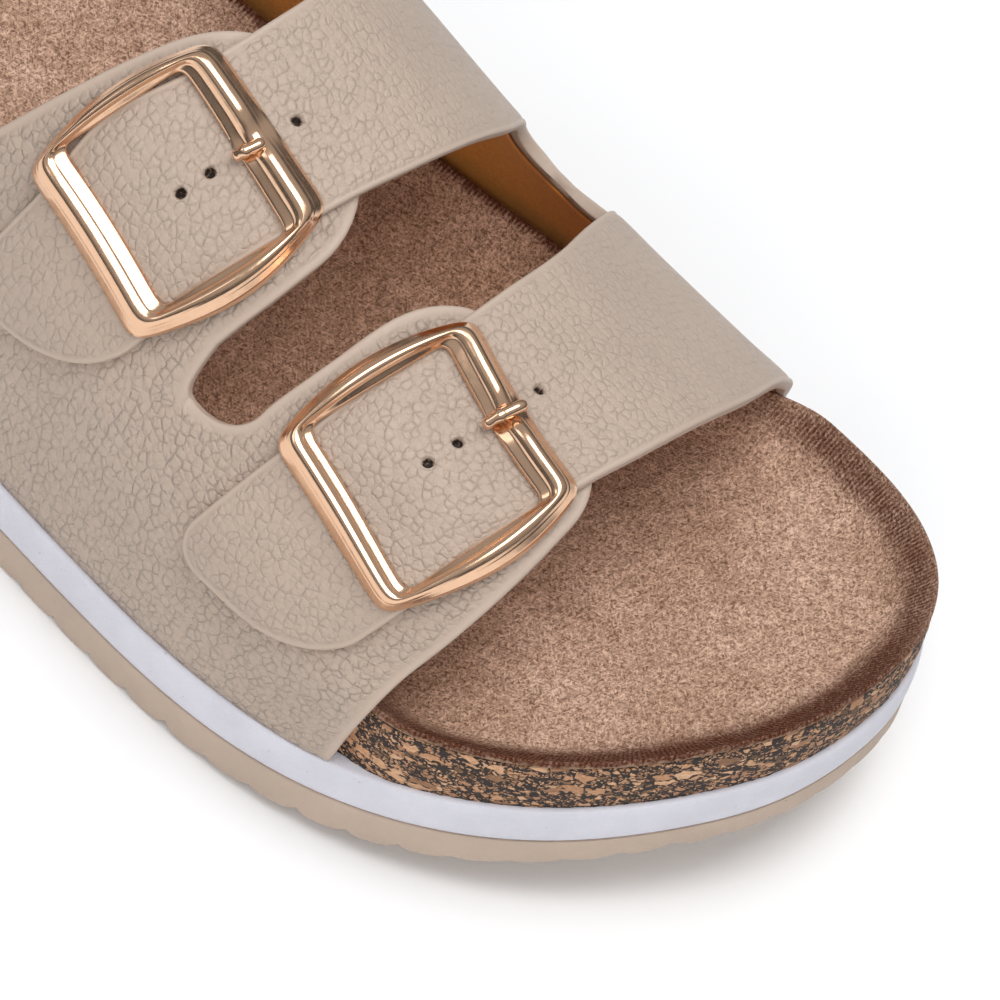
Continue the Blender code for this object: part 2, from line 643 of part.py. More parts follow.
def build_prong(name, line, collection):
    """Tip of the tongue: a round bar that lies in the notch of the inner cross bar and dips at its end."""
    start, end = np.array(line)
    t = np.linspace(0.0, 1.0, len(PRONG_TAPER))
    over = BUCKLE_LIFT + BAR_HEIGHT - NOTCH_DEPTH + PRONG_RADIUS + PRONG_CLEAR
    height = over - PRONG_DIP * (1.0 - ease(t, 0.0, 0.35))
    x = start[0] + (end[0] - start[0]) * t
    angle = start[1] + (end[1] - start[1]) * t
    path = lifted(x, angle, height)
    step = np.gradient(path, axis=0)
    step = step / np.linalg.norm(step, axis=1, keepdims=True)
    across = np.cross(step, arch_normal(x, angle))
    across = across / np.linalg.norm(across, axis=1, keepdims=True)
    normal = np.cross(across, step)
    turn = np.linspace(0.0, 2.0 * np.pi, PRONG_SIDES, endpoint=False)
    rings = []
    for i, share in enumerate(PRONG_TAPER):
        offset = np.outer(np.cos(turn), across[i]) + np.outer(np.sin(turn), normal[i])
        rings.append(path[i] + offset * PRONG_RADIUS * share)
    faces = list(grid_faces(len(t), PRONG_SIDES, wrap=True))
    first_cap = tuple(range(PRONG_SIDES - 1, -1, -1))
    last_cap = tuple(range(PRONG_SIDES * (len(t) - 1), PRONG_SIDES * len(t)))
    return mesh_object(name, np.vstack(rings), faces + [first_cap, last_cap], "metal", collection)


def build():
    """Clears the file and builds every piece."""
    for old in list(bpy.data.objects):
        bpy.data.objects.remove(old, do_unlink=True)
    parts = bpy.data.collections.new("slide_sandal")
    cutters = bpy.data.collections.new("cutters")
    for collection in (parts, cutters):
        bpy.context.scene.collection.children.link(collection)
    build_outsole(parts, cutters)
    build_midsole(parts)
    build_footbed(parts)
    build_insole(parts)
    build_upper(parts, cutters)
    for side in ("front", "rear"):
        build_buckle("buckle_" + side, side, parts)
        build_prong("prong_" + side, PRONG_LINES[side], parts)


build()
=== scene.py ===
"""Looks of a two-strap footbed sandal for the right foot, laid out as an add-on and run as a script.

Sizes in the tables are millimetres in the frame of the solids: +X to the toe, +Y to the inner side
of the foot, +Z up, floor at zero. The sole layers are profiles carried around one closed outline.
The leather pieces are grids on an arch surface that takes a station x and an angle from the outer
feather edge (0 degrees) over the instep (90) to the inner feather edge (180).
"""

import math

import bmesh
import bpy
import mathutils
import numpy as np
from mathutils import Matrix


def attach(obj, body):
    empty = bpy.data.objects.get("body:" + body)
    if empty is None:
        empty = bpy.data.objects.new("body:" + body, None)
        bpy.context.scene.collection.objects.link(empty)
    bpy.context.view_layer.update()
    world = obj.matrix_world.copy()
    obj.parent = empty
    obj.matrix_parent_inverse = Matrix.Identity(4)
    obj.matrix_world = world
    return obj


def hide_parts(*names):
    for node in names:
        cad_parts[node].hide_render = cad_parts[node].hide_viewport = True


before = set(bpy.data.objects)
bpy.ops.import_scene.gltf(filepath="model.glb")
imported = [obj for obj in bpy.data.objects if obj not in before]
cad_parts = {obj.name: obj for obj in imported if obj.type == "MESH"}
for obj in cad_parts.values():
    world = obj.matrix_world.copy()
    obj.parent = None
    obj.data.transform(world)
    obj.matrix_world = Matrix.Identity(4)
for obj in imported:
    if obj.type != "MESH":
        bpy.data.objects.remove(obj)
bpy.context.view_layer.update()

bl_info = {
    "name": "Footbed Sandal",
    "version": (1, 0, 0),
    "blender": (4, 5, 0),
    "location": "View3D > Sidebar > Sandal",
    "description": "Builds the finished pieces of a two-strap footbed sandal around its solids",
    "category": "Object",
}

MM = 0.001

# Layer heights on the flat of the sole
MIDSOLE_TOP = 12.1
JOINT_GAP = 0.3
SOCK_THICKNESS = 1.2
TOE_SPRING_START = 48.0
TOE_SPRING_RUN = 82.0
TOE_SPRING_RISE = 12.7

# Walls of the upper
WALL = 2.0
STRAP_WALL = 1.84
STRAP_FLOAT = 0.06
STRAP_DROP = (90.0, 130.0)
FEATHER_INSET = 0.7
FEATHER_Z = MIDSOLE_TOP + JOINT_GAP
LINING_WALL = 0.3
LINING_INSET = 1.2
LINING_SINK = 0.02
MM_PER_DEGREE = 0.72

# Outline of the sole seen from above: station, outer side, inner side
OUTLINE_COLUMNS = ("x", "outer", "inner")
OUTLINE = (
    (-116.0, -17.8, 19.5),
    (-100.0, -26.8, 29.0),
    (-80.0, -30.5, 33.0),
    (-55.0, -32.4, 34.2),
    (-30.0, -35.2, 35.6),
    (-2.0, -39.2, 38.1),
    (18.0, -41.8, 40.6),
    (38.0, -44.0, 43.1),
    (58.0, -45.2, 44.9),
    (78.0, -43.4, 45.0),
    (98.0, -35.3, 42.2),
    (108.0, -27.3, 38.9),
    (118.0, -14.3, 32.0),
    (123.3, -3.5, 23.5),
)
HEEL_END = (-125.5, 1.0)
TOE_END = (125.4, 11.0)

# Arch of the upper: station, crest height, crest place across, fullness of the inner side
ARCH_COLUMNS = ("x", "crest", "across", "full")
ARCH = (
    (-60.0, 90.0, 0.55, 2.30),
    (-42.0, 86.0, 0.55, 2.30),
    (-2.0, 75.0, 0.55, 2.30),
    (18.0, 69.0, 0.54, 2.25),
    (38.0, 61.5, 0.52, 2.10),
    (58.0, 55.0, 0.49, 2.00),
    (78.0, 50.5, 0.47, 2.00),
    (93.0, 48.0, 0.46, 2.00),
    (115.0, 44.0, 0.46, 2.00),
)

# Outer quarter: angle, rear edge, slot rear edge, slot front edge, front edge
QUARTER_COLUMNS = ("angle", "rear", "slot_rear", "slot_front", "front")
QUARTER = (
    (0.0, -20.0, 42.6, 42.6, 82.0),
    (12.0, -13.5, 42.6, 42.6, 83.2),
    (25.0, -6.0, 42.6, 42.6, 84.8),
    (38.0, 0.4, 39.6, 49.0, 87.0),
    (50.0, 5.2, 41.2, 51.1, 88.2),
    (60.0, 8.7, 42.8, 52.8, 88.6),
    (70.0, 12.0, 43.8, 54.0, 88.4),
    (85.0, 16.6, 44.4, 55.9, 87.6),
)
SLOT_START = 38.4
SLOT_START_RUN = 9.0
SLOT_START_X = 42.6
SLOT_ROUND = {"rear": 4.0, "front": 2.0}
TAB_END = {"rear": 85.0, "front": 88.0}
# Run in degrees and width of the round corners at the tabs' rear and front edges
TAB_CORNERS = ((16.0, 6.0), (16.0, 10.0))

# Inner quarter: angle, edges of the rear strap, edges of the front strap
STRAP_COLUMNS = ("angle", "rear_a", "rear_b", "front_a", "front_b")
STRAP = (
    (20.0, 7.5, 29.0, 50.7, 75.7),
    (40.0, 11.3, 33.4, 54.8, 80.4),
    (60.0, 14.6, 37.2, 58.4, 83.2),
    (80.0, 17.8, 40.6, 60.2, 86.0),
    (92.0, 18.5, 42.2, 60.5, 87.4),
    (108.0, 18.0, 43.0, 60.0, 88.1),
    (122.0, 15.2, 42.6, 57.9, 87.9),
    (140.0, 5.5, 39.8, 54.9, 86.3),
    (160.0, -8.0, 36.2, 51.4, 84.0),
    (180.0, -20.0, 32.5, 48.0, 81.5),
)
SLOT_END = 151.5
SLOT_END_RUN = 5.5
SLOT_END_X = 45.5
TAIL_END = {"rear": 21.8, "front": 19.6}
# Run in degrees and width of the round corners at each tail's rear and front edges
TAIL_CORNERS = {"rear": ((7.0, 5.0), (15.0, 16.0)), "front": ((7.0, 5.6), (10.5, 11.0))}
# Swell of the front strap's inner side: angle, spread in degrees, rise
STRAP_SWELL = (143.0, 13.0, 0.8)
SWELL_RUN = (46.0, 58.0)

# Holes of each strap: place across the strap as a share, angles, and the window's middle and half width
HOLE_SHARE = {"rear": 0.508, "front": 0.484}
HOLE_ANGLES = {"rear": (56.6, 62.0, 78.2), "front": (61.8, 67.9, 85.5)}
WINDOW = {"rear": (53.5, 16.0), "front": (60.5, 14.0)}
# How far the strap's rear and front edges are drawn in inside the window
WINDOW_NIP = {"rear": (-1.7, 0.3), "front": (-0.5, 0.3)}

# Footbed: station, floor height, outer rim, inner rim, where the rim slope starts
FOOTBED_COLUMNS = ("x", "floor", "outer", "inner", "slope")
FOOTBED = (
    (-126.0, 22.5, 34.0, 34.0, 0.50),
    (-90.0, 21.0, 33.0, 33.5, 0.48),
    (-50.0, 20.5, 28.0, 31.0, 0.50),
    (-10.0, 19.0, 23.0, 26.4, 0.55),
    (30.0, 17.0, 22.6, 22.4, 0.66),
    (60.0, 17.0, 23.4, 22.2, 0.76),
    (88.0, 17.8, 23.4, 22.2, 0.80),
    (104.0, 18.2, 21.8, 22.5, 0.81),
    (126.0, 18.4, 21.9, 22.2, 0.81),
)
RIM_CLIMB = 1.35
RIM_SIDE = 30.0
EDGE_BARE = 0.85
EDGE_WRAPPED = 4.0
EDGE_LEAN = 1.5
WRAP_REAR = (-38.0, -24.0)
WRAP_FRONT = (74.0, 91.0)
# Leather pressed out over the footbed's rim beside its front edge: where it sets in, push at the feather
# and at the rim, the rim's angle and spread, and the angles where the push at the feather fades
PRESS_RUN = (64.0, 82.0)
PRESS_FOOT = 0.5
PRESS_RIM = 1.3
PRESS_ANGLE = 18.0
PRESS_SPREAD = 9.0
PRESS_FADE = (10.0, 34.0)

# Sole edges, from the bottom up: inset from the outline, height, share of the scallop wave
OUTSOLE_EDGE = (
    (3.5, 0.0, 0.0),
    (2.2, 0.0, 0.25),
    (1.1, 0.0, 0.65),
    (0.45, 0.02, 0.92),
    (0.12, 0.15, 1.0),
    (0.0, 0.5, 1.0),
    (0.0, 2.2, 0.45),
    (0.0, 3.8, 0.0),
    (0.0, 5.25, 0.0),
    (0.1, 5.5, 0.0),
    (0.35, 5.6, 0.0),
)
MIDSOLE_EDGE = (
    (0.6, 5.75, 0.0),
    (0.2, 5.85, 0.0),
    (0.03, 6.2, 0.0),
    (-0.08, 7.5, 0.0),
    (-0.1, 9.0, 0.0),
    (-0.08, 10.5, 0.0),
    (0.03, 11.65, 0.0),
    (0.2, 12.0, 0.0),
    (0.6, 12.1, 0.0),
)
SCALLOP_COUNT = 84
SCALLOP_STEPS = 12
GROOVE_WIDTH = 3.0
GROOVE_DEPTH = 1.8
GROOVE_END = 9.0
HEEL_GROOVES = (-104.0, -93.0, -82.0, -71.0, -60.0, -49.0)
FOREFOOT_GROOVES = (-6.0, 4.0, 14.0, 24.0, 34.0, 44.0)
GROOVE_END_POINTS = 7
GROOVE_SHARP = 50.0
SCALLOP_SKEW = 0.07
SCALLOP_POWER = 1.3
SCALLOP_UNEVEN = (0.5, 1.15)
SCALLOP_SEED = 11
# Where the scallops grow weaker towards the toe, and by what share
SCALLOP_FADE = (74.0, 104.0)
SCALLOP_FADE_SHARE = 0.4
# How far the lower edge rolls up towards the toe
TOE_ROLL = 1.8
TOE_ROLL_RUN = (88.0, 122.0)

# Buckles: stations and angles of the corners, outer-rear, inner-rear, inner-front, outer-front
BUCKLE_OUTER = {
    "rear": ((8.4, 40.4), (15.4, 74.0), (39.6, 74.3), (32.6, 37.6)),
    "front": ((54.5, 45.4), (61.2, 84.4), (86.2, 77.0), (78.8, 36.6)),
}
BUCKLE_WINDOW = {
    "rear": ((10.5, 46.7), (15.3, 67.6), (38.3, 66.6), (33.0, 44.6)),
    "front": ((56.8, 51.5), (61.4, 77.4), (84.1, 70.4), (79.3, 42.8)),
}
# Outward bow of the rear and the front side bar
BUCKLE_BOW = {"rear": (1.8, 4.0), "front": (2.3, 3.8)}
WINDOW_BOW = {"rear": (-0.2, 0.2), "front": (-0.2, 0.2)}
# Rise in angle at the middle of the outer cross bar, which lies straight over the swell of the arch
CROSS_BAR_RISE = {"rear": 0.4, "front": 1.4}
PRONG_LINES = {
    "rear": ((27.2, 65.9), (28.5, 71.0)),
    "front": ((72.2, 72.3), (73.8, 80.3)),
}
BUCKLE_LIFT = 2.2
# Section of a bar from the window to the outer edge: place across, height
BAR_SECTION = (
    (0.0, 0.0),
    (0.0, 0.24),
    (0.02, 0.30),
    (0.05, 0.36),
    (0.20, 0.56),
    (0.23, 0.61),
    (0.27, 0.74),
    (0.35, 0.90),
    (0.44, 0.99),
    (0.50, 1.0),
    (0.57, 0.96),
    (0.65, 0.86),
    (0.71, 0.73),
    (0.73, 0.68),
    (0.76, 0.63),
    (0.93, 0.25),
    (0.96, 0.17),
    (1.0, 0.06),
    (1.0, 0.0),
)

# Soft creases of the leather: sheet, station, angle, heading in degrees, length, width, depth
CREASE_COLUMNS = ("sheet", "x", "angle", "heading", "length", "width", "depth")
CREASES = (
    ("quarter", 45.0, 62.0, 62.0, 5.0, 1.1, 0.28),
    ("quarter", 44.0, 69.0, 48.0, 4.0, 1.0, 0.25),
    ("quarter", 38.0, 33.0, 20.0, 9.0, 1.5, 0.22),
    ("quarter", 53.5, 63.0, -60.0, 5.0, 1.1, 0.22),
    ("quarter", 4.0, 30.0, 70.0, 12.0, 2.2, 0.25),
    ("front", 63.0, 101.0, 12.0, 12.0, 2.0, 0.22),
    ("front", 78.0, 112.0, -10.0, 14.0, 2.4, 0.20),
    ("rear", 26.0, 96.0, 8.0, 12.0, 2.2, 0.22),
    ("rear", 34.0, 108.0, -14.0, 10.0, 2.0, 0.20),
)


# Properties


def colour_setting(name, description, default):
    """Colour property; the default is red, green and blue."""
    return bpy.props.FloatVectorProperty(
        name=name, description=description, default=default + (1.0,), size=4, min=0.0, max=1.0,
        subtype="COLOR")


def length_setting(name, description, default):
    """Length property; the default is in millimetres."""
    return bpy.props.FloatProperty(
        name=name, description=description, default=default * MM, unit="LENGTH", precision=5)


def angle_setting(name, description, default):
    """Angle property; the default is in degrees."""
    return bpy.props.FloatProperty(
        name=name, description=description, default=math.radians(default), subtype="ANGLE")


class SandalLeatherSettings(bpy.types.PropertyGroup):
    """Sizes and colours of the leather upper."""

    colour: colour_setting("Leather", "Colour of the grained leather", (0.485, 0.378, 0.303))
    crease_colour: colour_setting("Leather creases", "Colour in the grain's creases", (0.25, 0.185, 0.145))
    lining_colour: colour_setting("Lining", "Colour of the lining", (0.74, 0.29, 0.044))
    quarter_pebble: length_setting("Quarter pebble", "Size of a pebble on the outer quarter", 1.32)
    strap_pebble: length_setting("Strap pebble", "Size of a pebble on the straps", 1.26)
    quarter_margin: length_setting("Quarter margin", "Width of the smooth margin of the outer quarter", 1.4)
    strap_margin: length_setting("Strap margin", "Width of the smooth margin of the straps", 0.9)
    margin_groove: length_setting("Margin groove", "Depth of the groove beside the smooth margin", 0.12)
    hole_radius: length_setting("Hole radius", "Radius of a punched strap hole", 0.70)
    hole_depth: length_setting("Hole depth", "Depth of a punched strap hole", 1.5)
    window_bulge: length_setting("Window bulge", "Rise of the strap inside a buckle's window", 0.9)


class SandalSoleSettings(bpy.types.PropertyGroup):
    """Sizes and colours of the sole layers."""

    outsole_colour: colour_setting("Outsole", "Colour of the outsole", (0.53, 0.412, 0.327))
    foam_colour: colour_setting("Midsole foam", "Colour of the foam layer", (0.715, 0.705, 0.765))
    binder_colour: colour_setting("Cork binder", "Colour between the cork chips", (0.036, 0.025, 0.021))
    suede_colour: colour_setting("Suede", "Colour of the suede sock", (0.92, 0.63, 0.475))
    # Colour between the fibres: partly the suede's own tone, partly painted shade in the nap's gaps
    suede_shade: colour_setting("Suede shade", "Colour between the fibres of the suede", (0.25, 0.135, 0.088))
    burnish_colour: colour_setting("Burnish", "Colour of the burnished rim slope", (0.092, 0.026, 0.013))
    lip_colour: colour_setting("Sock edge", "Colour of the sock's cut edge", (0.44, 0.28, 0.19))
    scallop_depth: length_setting("Scallop depth", "Depth of the notches along the lower edge", 1.2)
    pleat_pitch: length_setting("Pleat pitch", "Distance of the fine pleats on the rim slope", 0.66)


class SandalMetalSettings(bpy.types.PropertyGroup):
    """Sizes and colour of the buckles."""

    colour: colour_setting("Metal", "Colour of the plated metal", (0.84, 0.54, 0.355))
    bar_height: length_setting("Bar height", "Height of a cross bar's crown", 2.6)
    side_bar_height: length_setting("Side bar height", "Height of a side bar's crown", 1.9)
    notch_depth: length_setting("Notch depth", "Depth of the notch under the prong", 1.1)
    prong_radius: length_setting("Prong radius", "Radius of the prong's tip", 0.85)


class SandalStageSettings(bpy.types.PropertyGroup):
    """Floor, lights and camera."""

    floor_colour: colour_setting("Floor", "Colour of the floor", (0.97, 0.97, 0.975))
    world_strength: bpy.props.FloatProperty(
        name="Room light", description="Strength of the even light from all sides", default=0.36)
    azimuth: angle_setting("Azimuth", "Camera angle around the shoe", 26.0)
    elevation: angle_setting("Elevation", "Camera angle above the floor", 50.0)
    roll: angle_setting("Roll", "Turn of the camera about its own axis", 20.5)
    camera_place: bpy.props.FloatVectorProperty(
        name="Camera place", description="Place of the camera", size=3, subtype="TRANSLATION",
        unit="LENGTH", default=(0.5295, -0.9398, 1.2695))
    lens: bpy.props.FloatProperty(
        name="Lens", description="Focal length of the camera in millimetres", default=459.4)


SETTINGS = {
    "sandal_leather": SandalLeatherSettings,
    "sandal_sole": SandalSoleSettings,
    "sandal_metal": SandalMetalSettings,
    "sandal_stage": SandalStageSettings,
}


# Curves and the arch


def column(table, columns, name):
    """One named column of a table as an array."""
    return np.array([row[columns.index(name)] for row in table], dtype=float)


def smooth(x, xs, ys):
    """Cubic Hermite curve through table points, level beyond both ends."""
    x = np.asarray(x, dtype=float)
    slope = np.gradient(ys, xs)
    k = np.clip(np.searchsorted(xs, x, side="right") - 1, 0, len(xs) - 2)
    run = xs[k + 1] - xs[k]
    t = np.clip((x - xs[k]) / run, 0.0, 1.0)
    start = (2 * t**3 - 3 * t**2 + 1) * ys[k] + (t**3 - 2 * t**2 + t) * run * slope[k]
    end = (3 * t**2 - 2 * t**3) * ys[k + 1] + (t**3 - t**2) * run * slope[k + 1]
    return start + end


def table_curve(xs, ys):
    """Function of one table column against another."""
    return lambda x: smooth(x, xs, ys)


def table_curves(table, columns):
    """Functions of a table's further columns against its first one."""
    xs = column(table, columns, columns[0])
    return [table_curve(xs, column(table, columns, name)) for name in columns[1:]]


def ease(x, low, high):
    """Smooth step from zero at low to one at high."""
    t = np.clip((np.asarray(x, dtype=float) - low) / (high - low), 0.0, 1.0)
    return t * t * (3.0 - 2.0 * t)


def closed_spline(points, count):
    """Even samples of the periodic cubic spline through a ring of points."""
    ring = np.vstack([points, points[:1]])
    dist = np.concatenate([[0.0], np.cumsum(np.linalg.norm(np.diff(ring, axis=0), axis=1))])
    gap = np.diff(dist)
    size = len(points)
    before = np.roll(gap, 1)
    eye = np.eye(size)
    matrix = eye * (2 * (before + gap))[:, None]
    matrix = matrix + np.roll(eye, 1, axis=1) * gap[:, None] + np.roll(eye, -1, axis=1) * before[:, None]
    rise = np.diff(ring, axis=0) / gap[:, None]
    bend = np.linalg.solve(matrix, 6 * (rise - np.roll(rise, 1, axis=0)))
    bend = np.vstack([bend, bend[:1]])
    t = np.linspace(0.0, dist[-1], count, endpoint=False)
    k = np.clip(np.searchsorted(dist, t, side="right") - 1, 0, size - 1)
    a = (dist[k + 1] - t)[:, None]
    b = (t - dist[k])[:, None]
    h = gap[k][:, None]
    curve = (bend[k] * a**3 + bend[k + 1] * b**3) / (6 * h)
    return curve + (ring[k] / h - bend[k] * h / 6) * a + (ring[k + 1] / h - bend[k + 1] * h / 6) * b


def outline_points():
    """Ring of outline points: inner side from heel to toe, then outer side back."""
    x = column(OUTLINE, OUTLINE_COLUMNS, "x")
    inner = np.column_stack([x, column(OUTLINE, OUTLINE_COLUMNS, "inner")])
    outer = np.column_stack([x, column(OUTLINE, OUTLINE_COLUMNS, "outer")])[::-1]
    return np.vstack([[HEEL_END], inner, [TOE_END], outer])


DENSE_POINTS = 4000
DENSE_RING = closed_spline(outline_points(), DENSE_POINTS)
TOE_INDEX = int(np.argmax(DENSE_RING[:, 0]))


def side_of_sole(x, inner):
    """Distance of the outline from the centre line at a station, on the inner or outer side."""
    half = DENSE_RING[: TOE_INDEX + 1] if inner else DENSE_RING[TOE_INDEX:][::-1]
    order = np.argsort(half[:, 0])
    return np.interp(x, half[order, 0], half[order, 1])


def toe_spring(x):
    """Rise of every sole layer towards the toe: the square of the distance past the ball."""
    t = np.clip((np.asarray(x, dtype=float) - TOE_SPRING_START) / TOE_SPRING_RUN, 0.0, None)
    return TOE_SPRING_RISE * t**2


ARCH_CREST, ARCH_ACROSS, ARCH_FULL = table_curves(ARCH, ARCH_COLUMNS)


def arch(x, angle):
    """Point of the arch: half an ellipse across the sole, its crest moved by the table."""
    outer = side_of_sole(x, False) + FEATHER_INSET
    inner = side_of_sole(x, True) - FEATHER_INSET
    middle = outer + ARCH_ACROSS(x) * (inner - outer)
    base = FEATHER_Z + toe_spring(x)
    c = np.cos(np.radians(angle))
    s = np.abs(np.sin(np.radians(angle)))
    power = np.where(c > 0.0, 1.0, 2.0 / ARCH_FULL(x))
    reach = np.where(c > 0.0, middle - outer, inner - middle)
    y = middle - reach * np.sign(c) * np.abs(c) ** power
    z = base + (ARCH_CREST(x) - base) * s**power
    return np.stack([x + 0.0 * y, y, z], axis=-1)


# Steps along and around the arch for its normal, and the angles between which they are taken
NORMAL_STEPS = (0.2, 0.3)
NORMAL_ANGLES = (0.5, 179.5)


def arch_normal(x, angle):
    """Outward normal of the arch: the cross product of small steps along both parameters."""
    angle = np.clip(angle, *NORMAL_ANGLES)
    run, turn = NORMAL_STEPS
    along = arch(x + run, angle) - arch(x - run, angle)
    around = arch(x, angle + turn) - arch(x, angle - turn)
    normal = np.cross(along, around)
    return normal / np.linalg.norm(normal, axis=-1, keepdims=True)


def lifted(x, angle, lift):
    """Arch point moved out along its normal."""
    return arch(x, angle) + arch_normal(x, angle) * np.asarray(lift, dtype=float)[..., None]


# Meshes


def grid_faces(rows, columns, start=0, wrap=False):
    """Quads of a grid of points numbered row by row."""
    last = columns if wrap else columns - 1
    i, j = np.meshgrid(np.arange(rows - 1), np.arange(last), indexing="ij")
    n = (j + 1) % columns
    this_row = i * columns
    next_row = this_row + columns
    quads = np.stack([this_row + j, this_row + n, next_row + n, next_row + j], axis=-1)
    return quads.reshape(-1, 4) + start


def make_piece(name, points, faces, values=None, uv=None, weld=0.002):
    """Object at the origin from millimetre points and quads, with point values and a UV map, welded shut."""
    mesh = bpy.data.meshes.new(name)
    mesh.from_pydata((np.asarray(points) * MM).tolist(), [], np.asarray(faces).tolist())
    for key, value in (values or {}).items():
        layer = mesh.attributes.new(key, "FLOAT", "POINT")
        layer.data.foreach_set("value", np.asarray(value, dtype=np.float32).ravel())
    if uv is not None:
        corner = np.zeros(len(mesh.loops), dtype=np.int32)
        mesh.loops.foreach_get("vertex_index", corner)
        layer = mesh.uv_layers.new(name="Surface")
        layer.uv.foreach_set("vector", np.asarray(uv, dtype=np.float32)[corner].ravel())
    work = bmesh.new()
    work.from_mesh(mesh)
    bmesh.ops.remove_doubles(work, verts=work.verts, dist=weld * MM)
    bmesh.ops.dissolve_degenerate(work, edges=work.edges, dist=weld * MM)
    bmesh.ops.recalc_face_normals(work, faces=work.faces)
    work.to_mesh(mesh)
    work.free()
    mesh.shade_smooth()
    piece = bpy.data.objects.new(name, mesh)
    bpy.context.scene.collection.objects.link(piece)
    return piece


def dress(piece, material, node):
    """Material, body and replaced node of a piece."""
    piece.data.materials.clear()
    piece.data.materials.append(material)
    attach(piece, "root")
    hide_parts(node)
    return piece


# Sole layers


# Millimetres in one unit of a sole layer's map
MAP_UNIT = 100.0
MAP_SCALE = 1.0 / MAP_UNIT
# Points around the midsole, the footbed and the sock
RING_POINTS = 720
# Shares of a ring, from the heel and from the toe, between which its centre line runs
SPINE_RUN = (0.08, 0.41)


def ring_normals(ring):
    """Outward normals of a ring that runs from the heel along the inner side."""
    step = np.roll(ring, -1, axis=0) - np.roll(ring, 1, axis=0)
    normal = np.column_stack([-step[:, 1], step[:, 0]])
    return normal / np.linalg.norm(normal, axis=1, keepdims=True)


def spine_of(ring):
    """Centre-line point shared by each pair of ring points, kept clear of the round toe and heel."""
    count = len(ring)
    place = np.arange(count)
    middle = 0.5 * (ring + ring[-place])
    fold = np.minimum(place, count - place)
    return middle[np.clip(fold, *(int(share * count) for share in SPINE_RUN))]


def ring_lengths(ring):
    """Distance along a ring from its first point, in millimetres."""
    step = np.linalg.norm(np.diff(ring, axis=0), axis=1)
    return np.concatenate([[0.0], np.cumsum(step)])


def fan(ring, fractions, height):
    """Rings between the spine and a ring; height is a function of the points and the fraction."""
    spine = spine_of(ring)
    out = []
    for f in fractions:
        flat = spine + (ring - spine) * f
        out.append(np.column_stack([flat, height(flat, f)]))
    return out


def sprung(z):
    """Height function of a level face that follows the toe spring."""
    return lambda flat, f: z + toe_spring(flat[:, 0])


def edge_rings(ring, table, wave):
    """Rings of a sole edge: each row of the table gives inset, height and share of the wave."""
    normal = ring_normals(ring)
    out = []
    for inset, height, share in table:
        flat = ring - normal * inset
        out.append(np.column_stack([flat, height + share * wave + toe_spring(flat[:, 0])]))
    return out


def sole_layer(name, ring, table, wave):
    """Closed layer: bottom fan, edge profile and top fan."""
    rings = edge_rings(ring, table, wave)
    bottom = fan(rings[0][:, :2], (0.0, 0.5), sprung(table[0][1]))
    top = fan(rings[-1][:, :2], (0.5, 0.0), sprung(table[-1][1]))
    rings = bottom + rings + top
    around = np.concatenate([ring_lengths(ring)] * len(rings))
    points = np.vstack(rings)
    uv = np.column_stack([around, points[:, 2] - toe_spring(points[:, 0])]) * MAP_SCALE
    return make_piece(name, points, grid_faces(len(rings), len(ring), wrap=True), uv=uv)


def cut_grooves(piece):
    """Cuts the cross grooves of heel and forefoot with round-ended boxes."""
    work = bmesh.new()
    turn = np.linspace(-0.5 * np.pi, 0.5 * np.pi, GROOVE_END_POINTS)
    radius = 0.5 * GROOVE_WIDTH
    for x in HEEL_GROOVES + FOREFOOT_GROOVES:
        low = side_of_sole(x, False) + GROOVE_END + radius
        high = side_of_sole(x, True) - GROOVE_END - radius
        cap = np.column_stack([x - radius * np.sin(turn), high + radius * np.cos(turn)])
        foot = np.column_stack([x + radius * np.sin(turn), low - radius * np.cos(turn)])
        ring = np.vstack([cap, foot]) * MM
        face = work.faces.new([work.verts.new((px, py, -GROOVE_DEPTH * MM)) for px, py in ring])
        grown = bmesh.ops.extrude_face_region(work, geom=[face])["geom"]
        moved = [v for v in grown if isinstance(v, bmesh.types.BMVert)]
        bmesh.ops.translate(work, verts=moved, vec=(0.0, 0.0, 2.0 * GROOVE_DEPTH * MM))
    bmesh.ops.recalc_face_normals(work, faces=work.faces)
    mesh = bpy.data.meshes.new("groove_cutter")
    work.to_mesh(mesh)
    work.free()
    cutter = bpy.data.objects.new("groove_cutter", mesh)
    bpy.context.scene.collection.objects.link(cutter)
    step = piece.modifiers.new("grooves", "BOOLEAN")
    step.operation = "DIFFERENCE"
    step.solver = "EXACT"
    step.object = cutter
    depsgraph = bpy.context.evaluated_depsgraph_get()
    cut = bpy.data.meshes.new_from_object(piece.evaluated_get(depsgraph))
    piece.modifiers.clear()
    piece.data = cut
    bpy.data.objects.remove(cutter)
    cut.shade_smooth()
    cut.set_sharp_from_angle(angle=math.radians(GROOVE_SHARP))


def scallop_wave(ring):
    """Rise of the outsole's lower edge: notches of uneven depth, weaker towards the toe, which rolls up.

    A notch is one less the size of a sine of the skewed phase, raised to a power.
    """
    depth = bpy.context.scene.sandal_sole.scallop_depth / MM
    phase = np.arange(len(ring)) / SCALLOP_STEPS
    phase = phase + SCALLOP_SKEW * np.sin(2.0 * np.pi * phase)
    wave = depth * (1.0 - np.abs(np.sin(np.pi * phase))) ** SCALLOP_POWER
    uneven = np.random.default_rng(SCALLOP_SEED).uniform(*SCALLOP_UNEVEN, SCALLOP_COUNT)
    wave = wave * np.roll(np.repeat(uneven, SCALLOP_STEPS), SCALLOP_STEPS // 2)
    wave = wave * (1.0 - SCALLOP_FADE_SHARE * ease(ring[:, 0], *SCALLOP_FADE))
    return wave + TOE_ROLL * ease(ring[:, 0], *TOE_ROLL_RUN)


